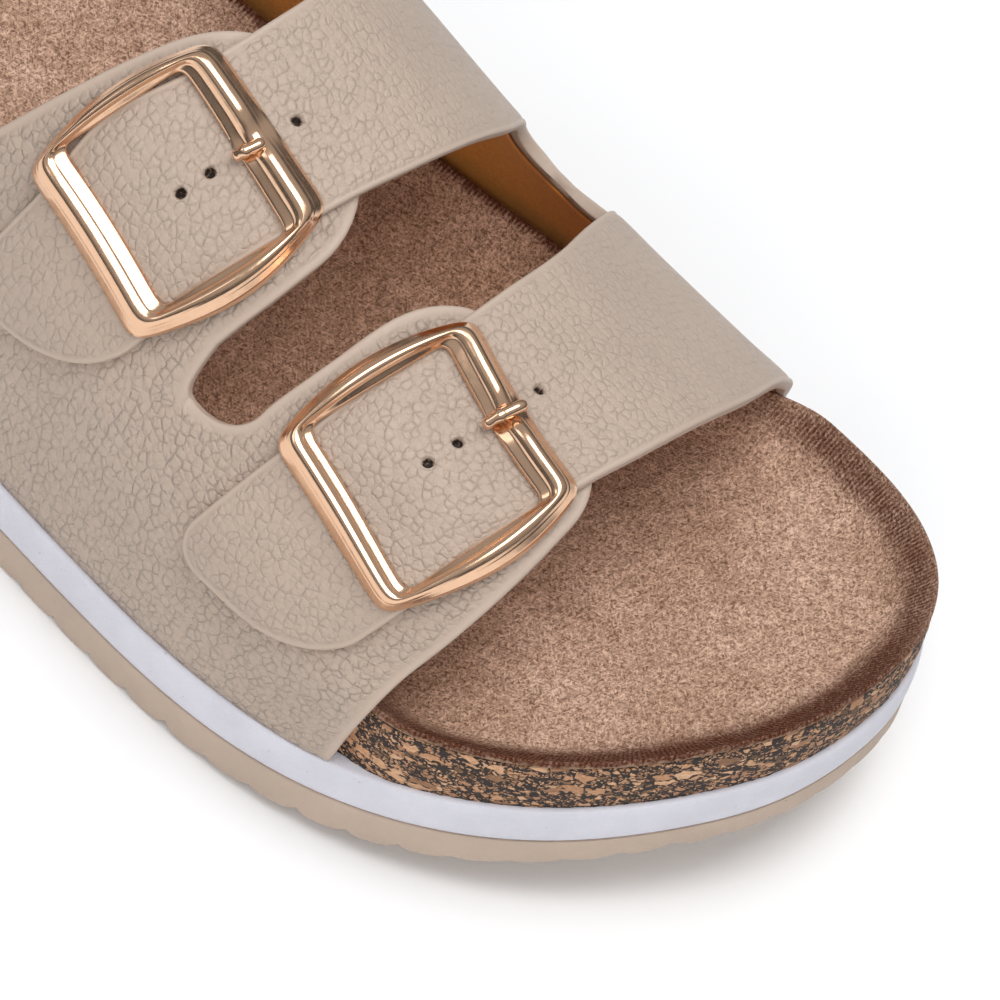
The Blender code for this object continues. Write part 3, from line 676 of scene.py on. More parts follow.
def build_outsole():
    """Outsole: its edge profile carried around the outline, the low rows lifted by the wave, and grooved."""
    ring = closed_spline(outline_points(), SCALLOP_COUNT * SCALLOP_STEPS)
    piece = sole_layer("outsole_tread", ring, OUTSOLE_EDGE, scallop_wave(ring))
    cut_grooves(piece)
    return piece


def build_midsole():
    """Foam layer: its edge profile carried around the outline."""
    ring = closed_spline(outline_points(), RING_POINTS)
    return sole_layer("midsole_layer", ring, MIDSOLE_EDGE, 0.0)


FOOTBED_FLOOR, FOOTBED_OUTER, FOOTBED_INNER, FOOTBED_SLOPE = table_curves(FOOTBED, FOOTBED_COLUMNS)
# Rings of the footbed's upper face, closer towards the rim: first and last share of the way out, count
TOP_RUNS = ((0.0, 0.44, 5), (0.5, 0.76, 9), (0.78, 0.988, 26))
TOP_FRACTIONS = np.concatenate([np.linspace(*run) for run in TOP_RUNS])
# Cork wall: rows, fullness in the middle, crumbly jitter, gaps to the midsole below and to the sock above
CORK_ROWS = 15
CORK_FULL = 0.35
CORK_JITTER = 0.07
CORK_SEED = 7
CORK_GAP = 0.05
SOCK_GAP = 0.02
# Sock: radius of the rolled rim, how far it stands out, and how far its cut edge stays above its underside
SOCK_ROLL = 0.45
SOCK_REACH = 0.12
SOCK_LIP = 0.1
# Angles of the roll, and the rim values at its start, on the cut edge and underneath
ROLL_ANGLES = np.linspace(20.0, 90.0, 5)
RIM_VALUES = (0.2, -0.6, -1.0)


def wrapped(x):
    """One where the upper wraps the footbed's side, zero at the bare toe and heel."""
    return ease(x, *WRAP_REAR) * (1.0 - ease(x, *WRAP_FRONT))


def footbed_ring(lean):
    """Ring of the footbed's edge, drawn in under the upper; lean is the part of the inward lean."""
    ring = closed_spline(outline_points(), RING_POINTS)
    inset = EDGE_BARE + (EDGE_WRAPPED - EDGE_BARE + EDGE_LEAN * lean) * wrapped(ring[:, 0])
    return ring - ring_normals(ring) * inset[:, None]


def footbed_top(flat, f):
    """Height of the sock's upper face: a level floor that climbs to the rim."""
    x = flat[:, 0]
    spine = 0.5 * (side_of_sole(x, False) + side_of_sole(x, True))
    across = np.clip((flat[:, 1] - spine) / RIM_SIDE, -1.0, 1.0)
    rim = FOOTBED_OUTER(x) + (FOOTBED_INNER(x) - FOOTBED_OUTER(x)) * (0.5 + 0.5 * across)
    slope = FOOTBED_SLOPE(x)
    climb = np.clip((f - slope) / (1.0 - slope), 0.0, 1.0) ** RIM_CLIMB
    return FOOTBED_FLOOR(x) + (rim - FOOTBED_FLOOR(x)) * climb + toe_spring(x)


def build_footbed():
    """Cork wall between a lower and a leaning upper ring, full in the middle, with crumbly jitter."""
    low = footbed_ring(0.0)
    top = footbed_ring(1.0)
    normal = ring_normals(low)
    drop = SOCK_THICKNESS + SOCK_GAP
    base = MIDSOLE_TOP + CORK_GAP + toe_spring(low[:, 0])
    crown = footbed_top(top, 1.0) - drop
    crumbs = np.random.default_rng(CORK_SEED)
    rings = fan(low, (0.0, 0.5), sprung(MIDSOLE_TOP + CORK_GAP))
    for share in np.linspace(0.0, 1.0, CORK_ROWS):
        out = CORK_FULL * np.sin(np.pi * share) + crumbs.uniform(-CORK_JITTER, CORK_JITTER, len(low))
        flat = low + (top - low) * share + normal * out[:, None]
        rings.append(np.column_stack([flat, base + (crown - base) * share]))
    rings += fan(top, TOP_FRACTIONS[::-1], lambda p, f: footbed_top(p, f) - drop)
    points = np.vstack(rings)
    around = np.concatenate([ring_lengths(low)] * len(rings))
    uv = np.column_stack([around, points[:, 2]]) * MAP_SCALE
    return make_piece("footbed_cork", points, grid_faces(len(rings), len(low), wrap=True), uv=uv)


def build_insole():
    """Suede sock: the footbed's upper face with a rolled rim and an underside of even thickness.

    The rim value is the distance from the rim in millimetres, below zero on the cut edge and underneath.
    """
    ring = footbed_ring(1.0)
    normal = ring_normals(ring)
    reach = np.linalg.norm(ring - spine_of(ring), axis=1)
    rings = fan(ring, TOP_FRACTIONS, footbed_top)
    rim = [(1.0 - f) * reach for f in TOP_FRACTIONS]
    crown = footbed_top(ring, 1.0)
    at_roll, at_edge, beneath = RIM_VALUES
    for a in np.radians(ROLL_ANGLES):
        flat = ring - normal * (SOCK_ROLL * (1.0 - np.sin(a)) - SOCK_REACH)
        rings.append(np.column_stack([flat, crown - SOCK_ROLL * (1.0 - np.cos(a))]))
        rim.append(np.full(len(ring), at_roll * np.cos(a)))
    rings.append(np.column_stack([ring + normal * SOCK_REACH, crown - SOCK_THICKNESS + SOCK_LIP]))
    rim.append(np.full(len(ring), at_edge))
    under = np.concatenate([[1.0], TOP_FRACTIONS[::-1]])
    rings += fan(ring, under, lambda p, f: footbed_top(p, f) - SOCK_THICKNESS)
    rim += [np.full(len(ring), beneath)] * len(under)
    around = np.concatenate([ring_lengths(ring)] * len(rings))
    bare = np.concatenate([1.0 - wrapped(ring[:, 0])] * len(rings))
    values = {"rim": np.concatenate(rim), "around": around, "bare": bare}
    return make_piece("insole_suede", np.vstack(rings), grid_faces(len(rings), len(ring), wrap=True), values)


# Leather sheets on the arch

EDGE_STEPS = np.array([0.0, 0.04, 0.15, 0.32, 0.5, 0.8, 1.2, 1.7, 2.4])
HOLE_STEPS = np.array([-1.7, -1.25, -0.95, -0.75, -0.55, -0.3, 0.0, 0.3, 0.55, 0.75, 0.95, 1.25, 1.7])
SIDES = ("rear", "front")
TOP_ROUND = 0.5
UNDER_ROUND = 0.3
# Fill of a band between its edges, distance of its rows in degrees, and how far they stay off a hole
BAND_FILL = 22
ROW_STEP = 1.6
HOLE_CLEAR = 3.2
# Rows of each stretch of the outer quarter's bands and of the straps
QUARTER_ROWS = {"low": 20, "round": 16, "open": 16}
STRAP_ROWS = {"tail": 16, "close": 14, "low": 16}
# Points whose distance to the boundary is measured at once
CHUNK_POINTS = 1500
# Width below which a band's edge steps shrink, and the shares of the width that hold its hole line
FULL_WIDTH = 12.0
HOLE_RANGE = (0.42, 0.58)
# Slope of a hole's wall in shares of its radius, and the run of the window's bulge from the edge
HOLE_WALL = (0.72, 1.15)
BULGE_RUN = (0.0, 5.0)
MARGIN_SPREAD = 0.25
ARC_STATION = 50.0
ARC_ANGLES = np.linspace(0.0, 180.0, 361)
ARC_LENGTHS = ring_lengths(arch(np.full(len(ARC_ANGLES), ARC_STATION), ARC_ANGLES))


def leather_map(x, angle):
    """Flat place of leather points in metres: the station and the length around the arch."""
    return np.column_stack([x.ravel(), np.interp(angle.ravel(), ARC_ANGLES, ARC_LENGTHS)]) * MM


def end_rows(end, run, count=12):
    """Angles of a rounded end, close together where it closes; a negative run lies below the end."""
    turn = np.radians(np.linspace(0.0, 90.0, count))
    return np.sort(end + run * (1.0 - np.sin(turn)))


def end_trim(angles, end, run, width):
    """Side trim of a rounded end: a quarter ellipse of the run and the width."""
    away = 1.0 - np.clip(np.abs(angles - end) / run, 0.0, 1.0)
    return width * (1.0 - np.sqrt(1.0 - away**2))


def stations(low, high, fill, line=None):
    """Stations across a band for each row: close steps at the edges and the hole line, even steps between."""
    width = (high - low)[:, None]
    fit = np.minimum(1.0, width / FULL_WIDTH)
    left = low[:, None] + EDGE_STEPS * fit
    right = high[:, None] - EDGE_STEPS[::-1] * fit
    if line is None:
        t = np.linspace(0.0, 1.0, fill + 2)[1:-1]
        return np.hstack([left, left[:, -1:] + (right[:, :1] - left[:, -1:]) * t, right])
    share = np.clip((line - low) / (high - low), *HOLE_RANGE)[:, None]
    band = low[:, None] + width * share + HOLE_STEPS * fit
    t = np.linspace(0.0, 1.0, fill // 2 + 2)[1:-1]
    before = left[:, -1:] + (band[:, :1] - left[:, -1:]) * t
    after = band[:, -1:] + (right[:, :1] - band[:, -1:]) * t
    return np.hstack([left, before, band, after, right])


def edge_distance(points, starts, ends):
    """Distance of each point to the nearest of the boundary's straight pieces."""
    flat = points.reshape(-1, 3)
    step = ends - starts
    size = np.maximum((step**2).sum(axis=1), 1e-9)
    nearest = []
    for part in np.array_split(flat, max(1, len(flat) // CHUNK_POINTS)):
        to = part[:, None, :] - starts[None]
        t = np.clip((to * step[None]).sum(axis=2) / size, 0.0, 1.0)
        gap = to - t[..., None] * step[None]
        nearest.append(np.sqrt((gap**2).sum(axis=2).min(axis=1)))
    return np.concatenate(nearest).reshape(points.shape[:-1])


def boundary(lines):
    """Start and end points of every straight piece of some lines of points."""
    starts = np.vstack([line[:-1] for line in lines])
    ends = np.vstack([line[1:] for line in lines])
    return starts, ends


def edge_round(distance, radius):
    """Drop of a face beside its edge: a quarter circle of the radius."""
    inside = 1.0 - np.clip(distance / radius, 0.0, 1.0)
    return radius * (1.0 - np.sqrt(1.0 - inside**2))


def crease_relief(sheet, x, angle):
    """Depth of the listed creases: a bell across the crease that fades along its length."""
    depth = np.zeros_like(x)
    for row in CREASES:
        place = dict(zip(CREASE_COLUMNS, row))
        if place["sheet"] != sheet:
            continue
        a = np.radians(place["heading"])
        dx = x - place["x"]
        dy = (angle - place["angle"]) * MM_PER_DEGREE
        along = (dx * np.cos(a) + dy * np.sin(a)) / place["length"]
        across = (dy * np.cos(a) - dx * np.sin(a)) / place["width"]
        depth = depth + place["depth"] * np.exp(-(across**2)) * np.exp(-((2.0 * along) ** 2))
    return depth


def hole_relief(x, angle, line, side, sizes):
    """Mask of the punched holes on the hole line, steep at the radius."""
    depth = np.zeros_like(x)
    radius = sizes.hole_radius / MM
    for hole in HOLE_ANGLES[side]:
        away = np.hypot(x - line[:, None], (angle - hole) * MM_PER_DEGREE)
        depth = np.maximum(depth, 1.0 - ease(away / radius, *HOLE_WALL))
    return depth


def shell(points, faces, x, angle, top, bottom):
    """Adds one band of a leather sheet: outer grid, inner grid and the strip that joins them."""
    rows, columns = x.shape
    start = sum(len(p) for p in points)
    outer = lifted(x, angle, top).reshape(-1, 3)
    inner = lifted(x, angle, bottom).reshape(-1, 3)
    points += [outer, inner]
    under = start + rows * columns
    faces.append(grid_faces(rows, columns, start))
    faces.append(grid_faces(rows, columns, under)[:, ::-1])
    number = np.arange(rows * columns).reshape(rows, columns)
    for line in (number[0], number[-1], number[:, 0], number[:, -1]):
        a, b = line[:-1], line[1:]
        faces.append(np.stack([a + start, b + start, b + under, a + under], axis=-1))


def window_swing(side, angle):
    """One in the middle of a buckle's window along the strap, zero beyond its half width."""
    middle, half = WINDOW[side]
    return np.cos(0.5 * np.pi * np.clip((angle - middle) / half, -1.0, 1.0)) ** 2


def quarter_bands(inset):
    """Rows, edges, no hole line and open rows of the outer quarter's two bands, drawn in by an inset."""
    edge = dict(zip(QUARTER_COLUMNS[1:], table_curves(QUARTER, QUARTER_COLUMNS)))
    turn_in = inset / MM_PER_DEGREE
    slot_start = SLOT_START - turn_in
    low_rows = np.linspace(0.0, slot_start, QUARTER_ROWS["low"])[:-1]
    turn = np.radians(np.linspace(0.0, 90.0, QUARTER_ROWS["round"]))
    slot_rows = slot_start + SLOT_START_RUN * (1.0 - np.cos(turn))
    bands = []
    for side in SIDES:
        end = TAB_END[side] - turn_in
        corner = end_rows(end, -TAB_CORNERS[0][0])
        open_rows = np.linspace(slot_rows[-1], corner[0], QUARTER_ROWS["open"])[1:-1]
        angles = np.concatenate([low_rows, slot_rows, open_rows, corner])
        low_trim, high_trim = [end_trim(angles, end, *shape) for shape in TAB_CORNERS]
        start = np.clip((angles - slot_start) / SLOT_START_RUN, 0.0, 1.0)
        power = SLOT_ROUND[side]
        opening = (1.0 - (1.0 - start) ** power) ** (1.0 / power)
        open_edge = edge["slot_" + side](np.maximum(angles, SLOT_START + SLOT_START_RUN))
        widen = -inset if side == "rear" else inset
        slot = SLOT_START_X + (open_edge + widen - SLOT_START_X) * opening
        low = edge["rear"](angles) + inset if side == "rear" else slot
        high = slot if side == "rear" else edge["front"](angles) - inset
        bands.append((angles, low + low_trim, high - high_trim, None, angles >= slot_start - 1e-6))
    return bands


def strap_bands(side, inset):
    """Rows, edges, hole line and open rows of one band of the inner quarter, from tail to feather edge."""
    edge = dict(zip(STRAP_COLUMNS[1:], table_curves(STRAP, STRAP_COLUMNS)))
    turn_in = inset / MM_PER_DEGREE
    slot_end = SLOT_END + turn_in
    slot_close = slot_end - SLOT_END_RUN
    end = TAIL_END[side] + turn_in
    tail = end_rows(end, TAIL_CORNERS[side][1][0], STRAP_ROWS["tail"])
    rows = np.arange(tail[-1] + ROW_STEP, slot_close - 0.5, ROW_STEP)
    holes = [hole + HOLE_STEPS / MM_PER_DEGREE for hole in HOLE_ANGLES[side]]
    clear = np.all([np.abs(rows - hole) > HOLE_CLEAR for hole in HOLE_ANGLES[side]], axis=0)
    rows = np.sort(np.concatenate([rows[clear]] + holes))
    turn = np.radians(np.linspace(0.0, 90.0, STRAP_ROWS["close"]))
    close_rows = slot_close + SLOT_END_RUN * np.sin(turn)
    low_rows = np.linspace(slot_end, 180.0, STRAP_ROWS["low"])[1:]
    angles = np.concatenate([tail, rows, close_rows, low_rows])
    low_trim, high_trim = [end_trim(angles, end, *shape) for shape in TAIL_CORNERS[side]]
    close = np.clip((angles - slot_close) / SLOT_END_RUN, 0.0, 1.0)
    width = (1.0 - close**3) ** (1.0 / 3.0)
    swing = window_swing(side, angles)
    first, last = edge[side + "_a"](angles), edge[side + "_b"](angles)
    low = first + inset + low_trim + WINDOW_NIP[side][0] * swing
    high = last - inset - high_trim - WINDOW_NIP[side][1] * swing
    open_edge = edge["rear_b"](slot_close) - inset if side == "rear" else edge["front_a"](slot_close) + inset
    closing = SLOT_END_X + (open_edge - SLOT_END_X) * width
    if side == "rear":
        high = np.where(close > 0.0, closing, high)
    else:
        low = np.where(close > 0.0, closing, low)
    line = first + (last - first) * HOLE_SHARE[side]
    return angles, low, high, line, angles <= slot_end + 1e-6


def band_grid(angles, low, high, fill, line=None):
    """Station and angle of every grid point of a band."""
    x = stations(low, high, fill, line)
    return x, np.repeat(angles[:, None], x.shape[1], axis=1)


def rim_press(x, angle):
    """Push of the leather over the footbed's rim near its front edge: most at the rim's height."""
    low = np.minimum(angle, 180.0 - angle)
    rim = PRESS_RIM * np.exp(-(((low - PRESS_ANGLE) / PRESS_SPREAD) ** 2))
    return ease(x, *PRESS_RUN) * (rim + PRESS_FOOT * (1.0 - ease(low, *PRESS_FADE)))


def strap_floor(x, angle):
    """Height of the straps' underside: on top of the tabs, then down to the arch on the inner side.

    The front strap swells out there, a bell over the angle that grows towards the toe.
    """
    middle, spread, rise = STRAP_SWELL
    swell = rise * np.exp(-(((angle - middle) / spread) ** 2)) * ease(x, *SWELL_RUN)
    level = STRAP_FLOAT - (WALL + STRAP_FLOAT) * ease(angle, *STRAP_DROP)
    return level + rim_press(x, np.maximum(angle, 90.0)) + swell


def margin_relief(distance, margin, sizes):
    """Groove beside the smooth margin: a narrow bell at the margin's width."""
    return sizes.margin_groove / MM * np.exp(-(((distance - margin / MM) / MARGIN_SPREAD) ** 2))


def build_sheet(name, kind, lift, wall, inset, relief):
    """Outer quarter, inner quarter or a lining: two bands on the arch that meet at the slot's ends.

    The edges are rounded. The lift moves the whole sheet, the inset draws its edges in, and relief adds
    margins, creases, holes and the bulges in the buckles' windows.
    """
    sizes = bpy.context.scene.sandal_leather
    is_strap = kind == "straps"
    bands = [strap_bands(side, inset) for side in SIDES] if is_strap else quarter_bands(inset)
    lines = []
    grids = []
    for side, (angles, low, high, line, is_open) in zip(SIDES, bands):
        x, angle = band_grid(angles, low, high, BAND_FILL, line)
        base = arch(x, angle)
        free, seam_and_shadow = (0, -1) if side == "rear" else (-1, 0)
        lines += [base[:, free], base[is_open, seam_and_shadow], base[0 if is_strap else -1]]
        grids.append((side, x, angle, base, line))
    starts, ends = boundary(lines)
    points, faces, uv, values = [], [], [], {"edge": [], "hole": []}
    for side, x, angle, base, line in grids:
        distance = edge_distance(base, starts, ends)
        floor = lift + (strap_floor(x, angle) if is_strap else rim_press(x, angle))
        outer = floor + wall - edge_round(distance, min(TOP_ROUND, 0.5 * wall))
        hole = np.zeros_like(x)
        if relief:
            margin = sizes.strap_margin if is_strap else sizes.quarter_margin
            outer = outer - margin_relief(distance, margin, sizes)
            outer = outer - crease_relief(side if is_strap else kind, x, angle)
        if relief and is_strap:
            hole = hole_relief(x, angle, line, side, sizes)
            bulge = sizes.window_bulge / MM * window_swing(side, angle) * ease(distance, *BULGE_RUN)
            outer = outer + bulge - sizes.hole_depth / MM * hole
        shell(points, faces, x, angle, outer, floor + edge_round(distance, min(UNDER_ROUND, 0.5 * wall)))
        uv += [leather_map(x, angle)] * 2
        values["edge"] += [distance.ravel()] * 2
        values["hole"] += [hole.ravel(), 0.0 * hole.ravel()]
    values = {key: np.concatenate(value) for key, value in values.items()}
    return make_piece(name, np.vstack(points), np.vstack(faces), values, np.vstack(uv))


# Buckles

BUCKLE_STEPS = 64
OUTER_BLUR = 9
WINDOW_BLUR = 7
HEIGHT_BLUR = 14
# How far the side bars reach down beside the strap
SIDE_BAR_DROP = 1.2
# Least number of points of a bar's section, and the height below which its foot reaches down
SECTION_POINTS = 30
FOOT_HEIGHT = 0.24
NOTCH_WIDTH = 0.09
NOTCH_SCOOP = 0.25
BAR_SHARP = 48.0
# Prong: points along and around, seat in shares of its radius, droop at its root and at its tip with their
# runs, and its collar and waist: place along, spread, change of the radius
PRONG_POINTS = (25, 20)
PRONG_SEAT = 0.8
PRONG_ROOT = (0.9, 0.0, 0.35)
PRONG_TIP = (0.5, 0.75, 1.0)
PRONG_RINGS = ((0.36, 0.06, 0.2), (0.24, 0.06, -0.12))


def ring_blur(values, reach):
    """Weighted mean of each ring value with its neighbours, which rounds the corners."""
    weight = np.hanning(2 * reach + 3)[1:-1]
    total = 0.0 * values
    for shift, w in zip(range(-reach, reach + 1), weight):
        total = total + w * np.roll(values, shift, axis=0)
    return total / weight.sum()


def buckle_loop(corners, bows, rise, reach):
    """Closed loop of stations and angles: straight sides with bowed bars, the corners rounded by a blur."""
    corner = np.array(corners, dtype=float)
    k, step = np.divmod(np.arange(4 * BUCKLE_STEPS), BUCKLE_STEPS)
    t = step / BUCKLE_STEPS
    line = corner[k] + (corner[(k + 1) % 4] - corner[k]) * t[:, None]
    swing = np.sin(np.pi * t)
    line[:, 0] += np.where(k == 0, -bows[0] * swing, 0.0) + np.where(k == 2, bows[1] * swing, 0.0)
    line[:, 1] += np.where(k == 3, rise * swing, 0.0)
    return ring_blur(line, reach)


def bar_section(count):
    """Points of a bar's section: the crowned face from the window side to the outer side."""
    table = np.array(BAR_SECTION)
    dist = ring_lengths(table)
    t = np.unique(np.concatenate([np.linspace(0.0, dist[-1], count), dist]))
    return np.column_stack([np.interp(t, dist, table[:, 0]), np.interp(t, dist, table[:, 1])])


def bar_shape(sizes):
    """Crown height, notch under the prong and depth of the foot around a buckle.

    Side bars are lower than the cross bars, and their feet reach down beside the strap.
    """
    k, step = np.divmod(np.arange(4 * BUCKLE_STEPS), BUCKLE_STEPS)
    t = step / BUCKLE_STEPS
    is_side = k % 2 == 0
    notch = np.where(k == 1, np.exp(-(((t - 0.5) / NOTCH_WIDTH) ** 2)), 0.0)
    tall = ring_blur(np.where(is_side, sizes.side_bar_height, sizes.bar_height) / MM, HEIGHT_BLUR)
    drop = np.where(is_side, SIDE_BAR_DROP * np.sin(np.pi * t) ** 2, 0.0)
    return tall - sizes.notch_depth / MM * notch, notch, drop


def build_buckle(side):
    """Curved frame: the bar section carried between the window's loop and the outer loop, on the arch."""
    rise = CROSS_BAR_RISE[side]
    outer = buckle_loop(BUCKLE_OUTER[side], BUCKLE_BOW[side], rise, OUTER_BLUR)
    window = buckle_loop(BUCKLE_WINDOW[side], WINDOW_BOW[side], rise, WINDOW_BLUR)
    lift = np.full(len(outer), BUCKLE_LIFT)
    far = lifted(outer[:, 0], outer[:, 1], lift)
    near = lifted(window[:, 0], window[:, 1], lift)
    middle = 0.5 * (outer + window)
    normal = arch_normal(middle[:, 0], middle[:, 1])
    height, notch, drop = bar_shape(bpy.context.scene.sandal_metal)
    rings = []
    for u, v in bar_section(SECTION_POINTS):
        scoop = NOTCH_SCOOP * notch * (1.0 - u) * np.sin(np.pi * min(v, 1.0))
        foot = drop * max(0.0, 1.0 - v / FOOT_HEIGHT)
        rings.append(near + (far - near) * u + normal * (height * v - scoop - foot)[:, None])
    points = np.vstack(rings + [rings[0]])
    piece = make_piece("buckle_frame_" + side, points, grid_faces(len(rings) + 1, len(outer), wrap=True))
    piece.data.set_sharp_from_angle(angle=math.radians(BAR_SHARP))
    return piece


def build_prong(side):
    """Tip of the tongue: round sections along a line over the inner cross bar, domed at both ends."""
    sizes = bpy.context.scene.sandal_metal
    start, end = np.array(PRONG_LINES[side])
    along, around = PRONG_POINTS
    turn = np.linspace(-0.5 * np.pi, 0.5 * np.pi, along)
    t = 0.5 + 0.5 * np.sin(turn)
    radius = sizes.prong_radius / MM
    over = BUCKLE_LIFT + (sizes.bar_height - sizes.notch_depth) / MM + PRONG_SEAT * radius
    height = over - PRONG_ROOT[0] * (1.0 - ease(t, *PRONG_ROOT[1:])) - PRONG_TIP[0] * ease(t, *PRONG_TIP[1:])
    line = start + (end - start) * t[:, None]
    path = lifted(line[:, 0], line[:, 1], height)
    step = np.gradient(path, axis=0)
    step = step / np.linalg.norm(step, axis=1, keepdims=True)
    across = np.cross(step, arch_normal(line[:, 0], line[:, 1]))
    across = across / np.linalg.norm(across, axis=1, keepdims=True)
    normal = np.cross(across, step)
    length = ring_lengths(path)
    end_gap = np.minimum(length, length[-1] - length)
    dome = np.sqrt(np.clip(1.0 - (1.0 - np.clip(end_gap / radius, 0.0, 1.0)) ** 2, 0.0, 1.0))
    collar = 1.0 + sum(more * np.exp(-(((t - place) / spread) ** 2)) for place, spread, more in PRONG_RINGS)
    ring = np.linspace(0.0, 2.0 * np.pi, around, endpoint=False)[None, :, None]
    circle = across[:, None] * np.cos(ring) + normal[:, None] * np.sin(ring)
    points = path[:, None] + circle * (radius * dome * collar)[:, None, None]
    return make_piece("prong_tip_" + side, points.reshape(-1, 3), grid_faces(along, around, wrap=True))


# Shader helpers and groups


def join(node, inputs):
    """Feeds a node's inputs by name or number with plain values or wires."""
    for key, value in inputs.items():
        if isinstance(value, Wire):
            node.id_data.links.new(value.socket, node.inputs[key])
        else:
            node.inputs[key].default_value = value


def add_node(tree, kind, inputs=None, **settings):
    """Node with settings and inputs."""
    node = tree.nodes.new(kind)
    for key, value in settings.items():
        setattr(node, key, value)
    join(node, inputs or {})
    return node


class Wire:
    """Output of a node; sums on wires add the nodes that work them out."""

    def __init__(self, node, key=0):
        self.socket = node.outputs[key]
        self.tree = node.id_data

    def calc(self, operation, a, b, clamp=False):
        """Result of one sum on two values or wires."""
        return Wire(add_node(self.tree, "ShaderNodeMath", {0: a, 1: b}, operation=operation, use_clamp=clamp))

    def __add__(self, other):
        return self.calc("ADD", self, other)

    def __sub__(self, other):
        return self.calc("SUBTRACT", self, other)

    def __rsub__(self, other):
        return self.calc("SUBTRACT", other, self)

    def __mul__(self, other):
        return self.calc("MULTIPLY", self, other)

    def __truediv__(self, other):
        return self.calc("DIVIDE", self, other)

    def __rtruediv__(self, other):
        return self.calc("DIVIDE", other, self)

    def most(self, other):
        """Larger of two values."""
        return self.calc("MAXIMUM", self, other)

    def least(self, other):
        """Smaller of two values."""
        return self.calc("MINIMUM", self, other)

    def ramp(self, low, high, to_low=0.0, to_high=1.0):
        """Value carried smoothly from one range to another."""
        inputs = {"Value": self, "From Min": low, "From Max": high, "To Min": to_low, "To Max": to_high}
        return Wire(add_node(self.tree, "ShaderNodeMapRange", inputs, interpolation_type="SMOOTHSTEP"))

    def part(self, letter):
        """One coordinate of a place."""
        return Wire(add_node(self.tree, "ShaderNodeSeparateXYZ", {0: self}), letter)


def mix_colour(factor, a, b, blend="MIX"):
    """Blend of two colours by a factor."""
    tree = next(value.tree for value in (factor, a, b) if isinstance(value, Wire))
    inputs = {0: factor, 6: a, 7: b}
    return Wire(add_node(tree, "ShaderNodeMix", inputs, data_type="RGBA", blend_type=blend), 2)


def noise(place, scale, detail=3.0, roughness=0.55, dimensions="3D", output="Fac"):
    """Noise value or colour at a place."""
    inputs = {"Vector": place, "Scale": scale, "Detail": detail, "Roughness": roughness}
    return Wire(add_node(place.tree, "ShaderNodeTexNoise", inputs, noise_dimensions=dimensions), output)


def shaken(place, scale, reach, dimensions="2D"):
    """Place moved about by noise."""
    wave = noise(place, scale, 2.0, 0.55, dimensions, "Color")
    kind = "ShaderNodeVectorMath"
    centred = Wire(add_node(place.tree, kind, {0: wave, 1: (0.5, 0.5, 0.5)}, operation="SUBTRACT"))
    shift = Wire(add_node(place.tree, kind, {0: centred, "Scale": reach}, operation="SCALE"))
    return Wire(add_node(place.tree, kind, {0: place, 1: shift}, operation="ADD"))


def cells(place, scale, output, feature="DISTANCE_TO_EDGE", dimensions="2D", randomness=1.0):
    """Distance or colour of a cell texture at a place."""
    inputs = {"Vector": place, "Scale": scale, "Randomness": randomness}
    kinds = {"feature": feature, "voronoi_dimensions": dimensions}
    return Wire(add_node(place.tree, "ShaderNodeTexVoronoi", inputs, **kinds), output)


def channel(colour, name):
    """One channel of a colour."""
    return Wire(add_node(colour.tree, "ShaderNodeSeparateColor", {"Color": colour}), name)


def new_group(name, inputs, outputs):
    """Empty shader group: its named inputs as wires, the place as a vector, and its output node."""
    tree = bpy.data.node_groups.new(name, "ShaderNodeTree")
    for keys, way in ((inputs, "INPUT"), (outputs, "OUTPUT")):
        for key in keys:
            kind = "NodeSocketVector" if key == "Vector" else "NodeSocketFloat"
            tree.interface.new_socket(name=key, in_out=way, socket_type=kind)
    given = tree.nodes.new("NodeGroupInput")
    return [Wire(given, key) for key in inputs], tree.nodes.new("NodeGroupOutput")


# Pebbles and the beads between them: frequency, width of the groove as a share of the cell
PEBBLE_SIZES = ((1.0, 0.34), (1.75, 0.4))
PEBBLE_ORDER = 0.78


def pebble_group():
    """Pebbled grain on a flat map: pillows between bent cell edges, small beads, and broken crease lines.

    The pillow is a paraboloid about the cell's heart with an uneven groove along the cell's edge.
    """
    keys = ("Vector", "Scale", "Crease", "Bend")
    (place, scale, width, bend), out = new_group("Pebble Grain", keys, ("Height", "Crease"))
    moved = shaken(place, scale * 0.9, bend / scale)
    domes = []
    lines = []
    for factor, wide in PEBBLE_SIZES:
        gap = cells(moved, scale * factor, "Distance", randomness=PEBBLE_ORDER)
        rise = gap.calc("DIVIDE", gap, wide, clamp=True)
        domes.append(rise * (2.0 - rise))
        lines.append(1.0 - gap.ramp(0.0, width))
    fine = noise(place, scale * 4.5, 4.0, 0.6, "2D")
    wear_and_shade = noise(place, scale * 0.75, 2.0, 0.5, "2D").ramp(0.36, 0.6)
    part = noise(place, scale * 0.6, 1.0, 0.5, "2D").ramp(0.42, 0.62)
    heart = cells(moved, scale, "Distance", "F1", randomness=PEBBLE_ORDER)
    bulge = 1.0 - heart * heart * 1.2
    groove = domes[0] * wear_and_shade.ramp(0.0, 1.0, 0.14, 0.5)
    bead = domes[1] * part.ramp(0.0, 1.0, 0.02, 0.16)
    line = lines[0] * wear_and_shade.ramp(0.0, 1.0, 0.1, 1.0)
    hair = lines[1] * part * 0.25
    join(out, {"Height": groove + bulge * 0.5 + bead + fine * 0.14, "Crease": line.most(hair)})


# Directions of the hairs in radians, and how far they are drawn out
NAP_TURNS = (0.35, -0.75, 1.45)
NAP_STRETCH = (3.4, 1.0, 1.0)


